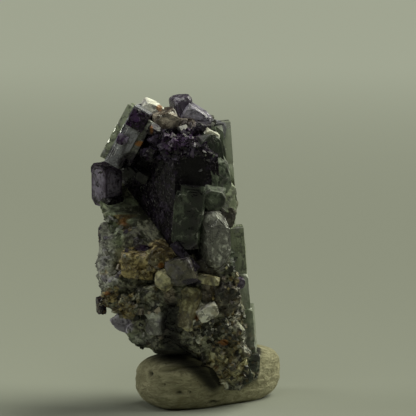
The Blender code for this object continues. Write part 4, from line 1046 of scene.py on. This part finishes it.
def makePad():
    # A ball squared along and around into a roll, bent and raised at its back end, cut flat
    # below, with a groove where the putty was folded over along its front, small pits, and a
    # lip of putty pushed up round the cluster's foot. The value that the shader darkens it by is
    # painted shade: in the groove, in the pits, near the foot and under the cluster's overhang
    turn = np.arange(pad["around"]) * 2 * math.pi / pad["around"]
    level = -np.cos(np.arange(1, pad["rings"]) * math.pi / pad["rings"])
    ring = np.sqrt(1 - level**2)
    unit = np.stack([ring[:, None] * np.cos(turn), ring[:, None] * np.sin(turn),
                     np.repeat(level[:, None], pad["around"], axis=1)], axis=2).reshape(-1, 3)
    unit = np.concatenate([[[0, 0, -1]], unit, [[0, 0, 1]]])
    ring = np.hypot(unit[:, 0], unit[:, 1])
    angle = np.arctan2(unit[:, 1], unit[:, 0])
    along = signedPower(unit[:, 2], pad["roundness"])
    swell = ring ** pad["roundness"]
    behind = swell * signedPower(np.cos(angle), pad["roundness"])
    up = swell * signedPower(np.sin(angle), pad["roundness"])
    halfWidth = np.where(behind > 0, pad["halfWidthBack"], pad["halfWidthFront"])
    y = behind * halfWidth + pad["bend"] * along**2
    z = pad["height"] / 2 * (1 + up) - pad["cutOffBelow"] + pad["lift"] * np.maximum(along, 0) ** 2
    points = np.stack([along * pad["length"] / 2, y, z], axis=1)
    away = points - np.array([0, 0, pad["height"] / 2])
    outward = away / np.linalg.norm(away, axis=1)[:, None]
    dentDepth, dentLength, dentSeed = pad["dents"]
    creaseDepth, creaseLength, creaseSeed = pad["creases"]
    dents = dentDepth * wavy(points, dentLength, dentSeed)
    dents += creaseDepth * wavy(points * [0.4, 1, 1.4], creaseLength, creaseSeed)
    fold = pad["fold"]
    line = fold["at"] + 0.05 * wavy(points, 5.0, 12) - 0.25 * np.abs(along) ** 3
    groove = np.exp(-(((up - line) / fold["width"]) ** 2)) * (behind < 0)
    groove *= softStep(along, fold["from"], fold["from"] + 0.1)
    groove *= softStep(along, fold["to"], fold["to"] - 0.3)
    points = points + outward * (dents - pad["shrunk"] - fold["depth"] * groove)[:, None]
    c, s = math.cos(pad["turn"]), math.sin(pad["turn"])
    turning = np.array([[c, s, 0], [-s, c, 0], [0, 0, 1]])
    points = points @ turning + [pad["right"], 0, 0]
    outward = outward @ turning
    across, height = toView(points)
    # Painted shade in the fold's groove
    paintedShade = 0.5 * groove
    facesEye = points[:, 1] < pad["frontTo"]
    for x, z, reachX, reachZ, depth in pad["pits"]:
        spot = np.exp(-(((across - x) / reachX) ** 2 + ((height - z) / reachZ) ** 2)) * facesEye
        points = points - outward * (depth * spot)[:, None]
        # Painted shade in the pits
        paintedShade = np.maximum(paintedShade, spot)
    foot = [boxDistance(points, fromView(*seen), size, angles)
            for name, finishName, kind, seen, size, angles, kept, chips in frontCrystals
            if "foot" in name and seen[1] < pad["footBelow"]]
    gap = np.min(foot, axis=0)
    # Painted shadow of the cluster's overhang along the shade line
    over = lineDistance(np.stack([across, height], axis=1), np.array(pad["shadeLine"]))
    paintedShade = np.maximum(paintedShade, np.exp(-(over / pad["shadeReach"]) ** 3) * facesEye)
    lip = pad["lip"] * np.exp(-((gap / pad["lipWidth"]) ** 2)) * (points[:, 2] > pad["lipAbove"])
    points = points + outward * lip[:, None]
    points[:, 2] = np.maximum(points[:, 2], 0)
    # Painted shade on the putty next to the cluster's foot
    values = {"paintedShade": np.maximum(paintedShade, np.exp(-np.maximum(gap, 0) / pad["darkNear"]))}
    quads, triangles = ringFaces(pad["rings"] - 1, pad["around"])
    return makePiece("puttyPad", points, quads, triangles, values, puttyFinish("putty"),
                     smooth=True)


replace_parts(makePad(), "putty_pad")


# Light, floor and camera

studio = {
    "floorNear": (0.310, 0.322, 0.288), "floorFar": (0.465, 0.485, 0.455), "farFrom": 0.06, "farTo": 0.75,
    "floorHalf": 12.0, "air": (0.032, 0.033, 0.026), "aim": (-0.003, 0, 0.018),
    "sun": {"from": (0.70, 0.30, 0.80), "angle": 50, "strength": 3.2, "colour": (1.0, 1.02, 0.82)},
    # name, place, size, power, colour
    "lamps": (
        ("leftSoft", (-0.25, 0.03, 0.12), 0.12, 0.20, (1.0, 1.02, 0.86)),
        ("topSoft", (-0.009, -0.019, 0.060), 0.02, 0.0045, (1.0, 1.02, 0.90)))}


def makeFloor():
    # The floor is painted a little paler far behind the cluster: painted light
    half = studio["floorHalf"]
    mesh = bpy.data.meshes.new("floor")
    corners = [(-half, -half, 0), (half, -half, 0), (half, half, 0), (-half, half, 0)]
    mesh.from_pydata(corners, [], [(0, 1, 2, 3)])
    finish = Finish("floor")
    distance = finish.vector("DOT_PRODUCT", {0: finish.place, 1: (0, mm, 0)}, "Value")
    colour = finish.blend(distance.between(studio["farFrom"], studio["farTo"]), studio["floorNear"],
                          studio["floorFar"])
    dull = {"Base Color": colour, "Roughness": 0.9, "Specular IOR Level": 0.1}
    mesh.materials.append(finish.surface(dull))
    floor = bpy.data.objects.new("floor", mesh)
    bpy.context.scene.collection.objects.link(floor)


def placeLamp(name, lamp, place):
    # A lamp at a place, turned towards the aim
    holder = bpy.data.objects.new(name, lamp)
    holder.location = place
    towards = Vector(studio["aim"]) - Vector(place)
    holder.rotation_euler = towards.to_track_quat("-Z", "Y").to_euler()
    bpy.context.scene.collection.objects.link(holder)


def makeLamps():
    # A wide sun from behind on the right, two soft lamps and a dim even air
    sun = bpy.data.lights.new("sun", "SUN")
    sun.angle, sun.energy = math.radians(studio["sun"]["angle"]), studio["sun"]["strength"]
    sun.color = studio["sun"]["colour"]
    placeLamp("sun", sun, studio["sun"]["from"])
    for name, place, size, power, colour in studio["lamps"]:
        lamp = bpy.data.lights.new(name, "AREA")
        lamp.size, lamp.energy, lamp.color = size, power, colour
        placeLamp(name, lamp, place)
    world = bpy.data.worlds.new("air")
    world.use_nodes = True
    world.node_tree.nodes["Background"].inputs["Color"].default_value = (*studio["air"], 1)
    bpy.context.scene.world = world


def makeCamera():
    # The eye of pictureAxes
    eyePoint, middle, upward, back = pictureAxes()
    lens = bpy.data.cameras.new("camera")
    lens.lens, lens.sensor_width = viewpoint["lens"], 36
    lens.clip_start, lens.clip_end = 0.005, 50
    eye = bpy.data.objects.new("camera", lens)
    eye.location = Vector(eyePoint) * mm
    eye.rotation_euler = Vector(-back).to_track_quat("-Z", "Y").to_euler()
    bpy.context.scene.collection.objects.link(eye)
    bpy.context.scene.camera = eye


makeFloor()
makeLamps()
makeCamera()
bpy.context.scene.view_settings.view_transform = "Standard"
print("studio made")
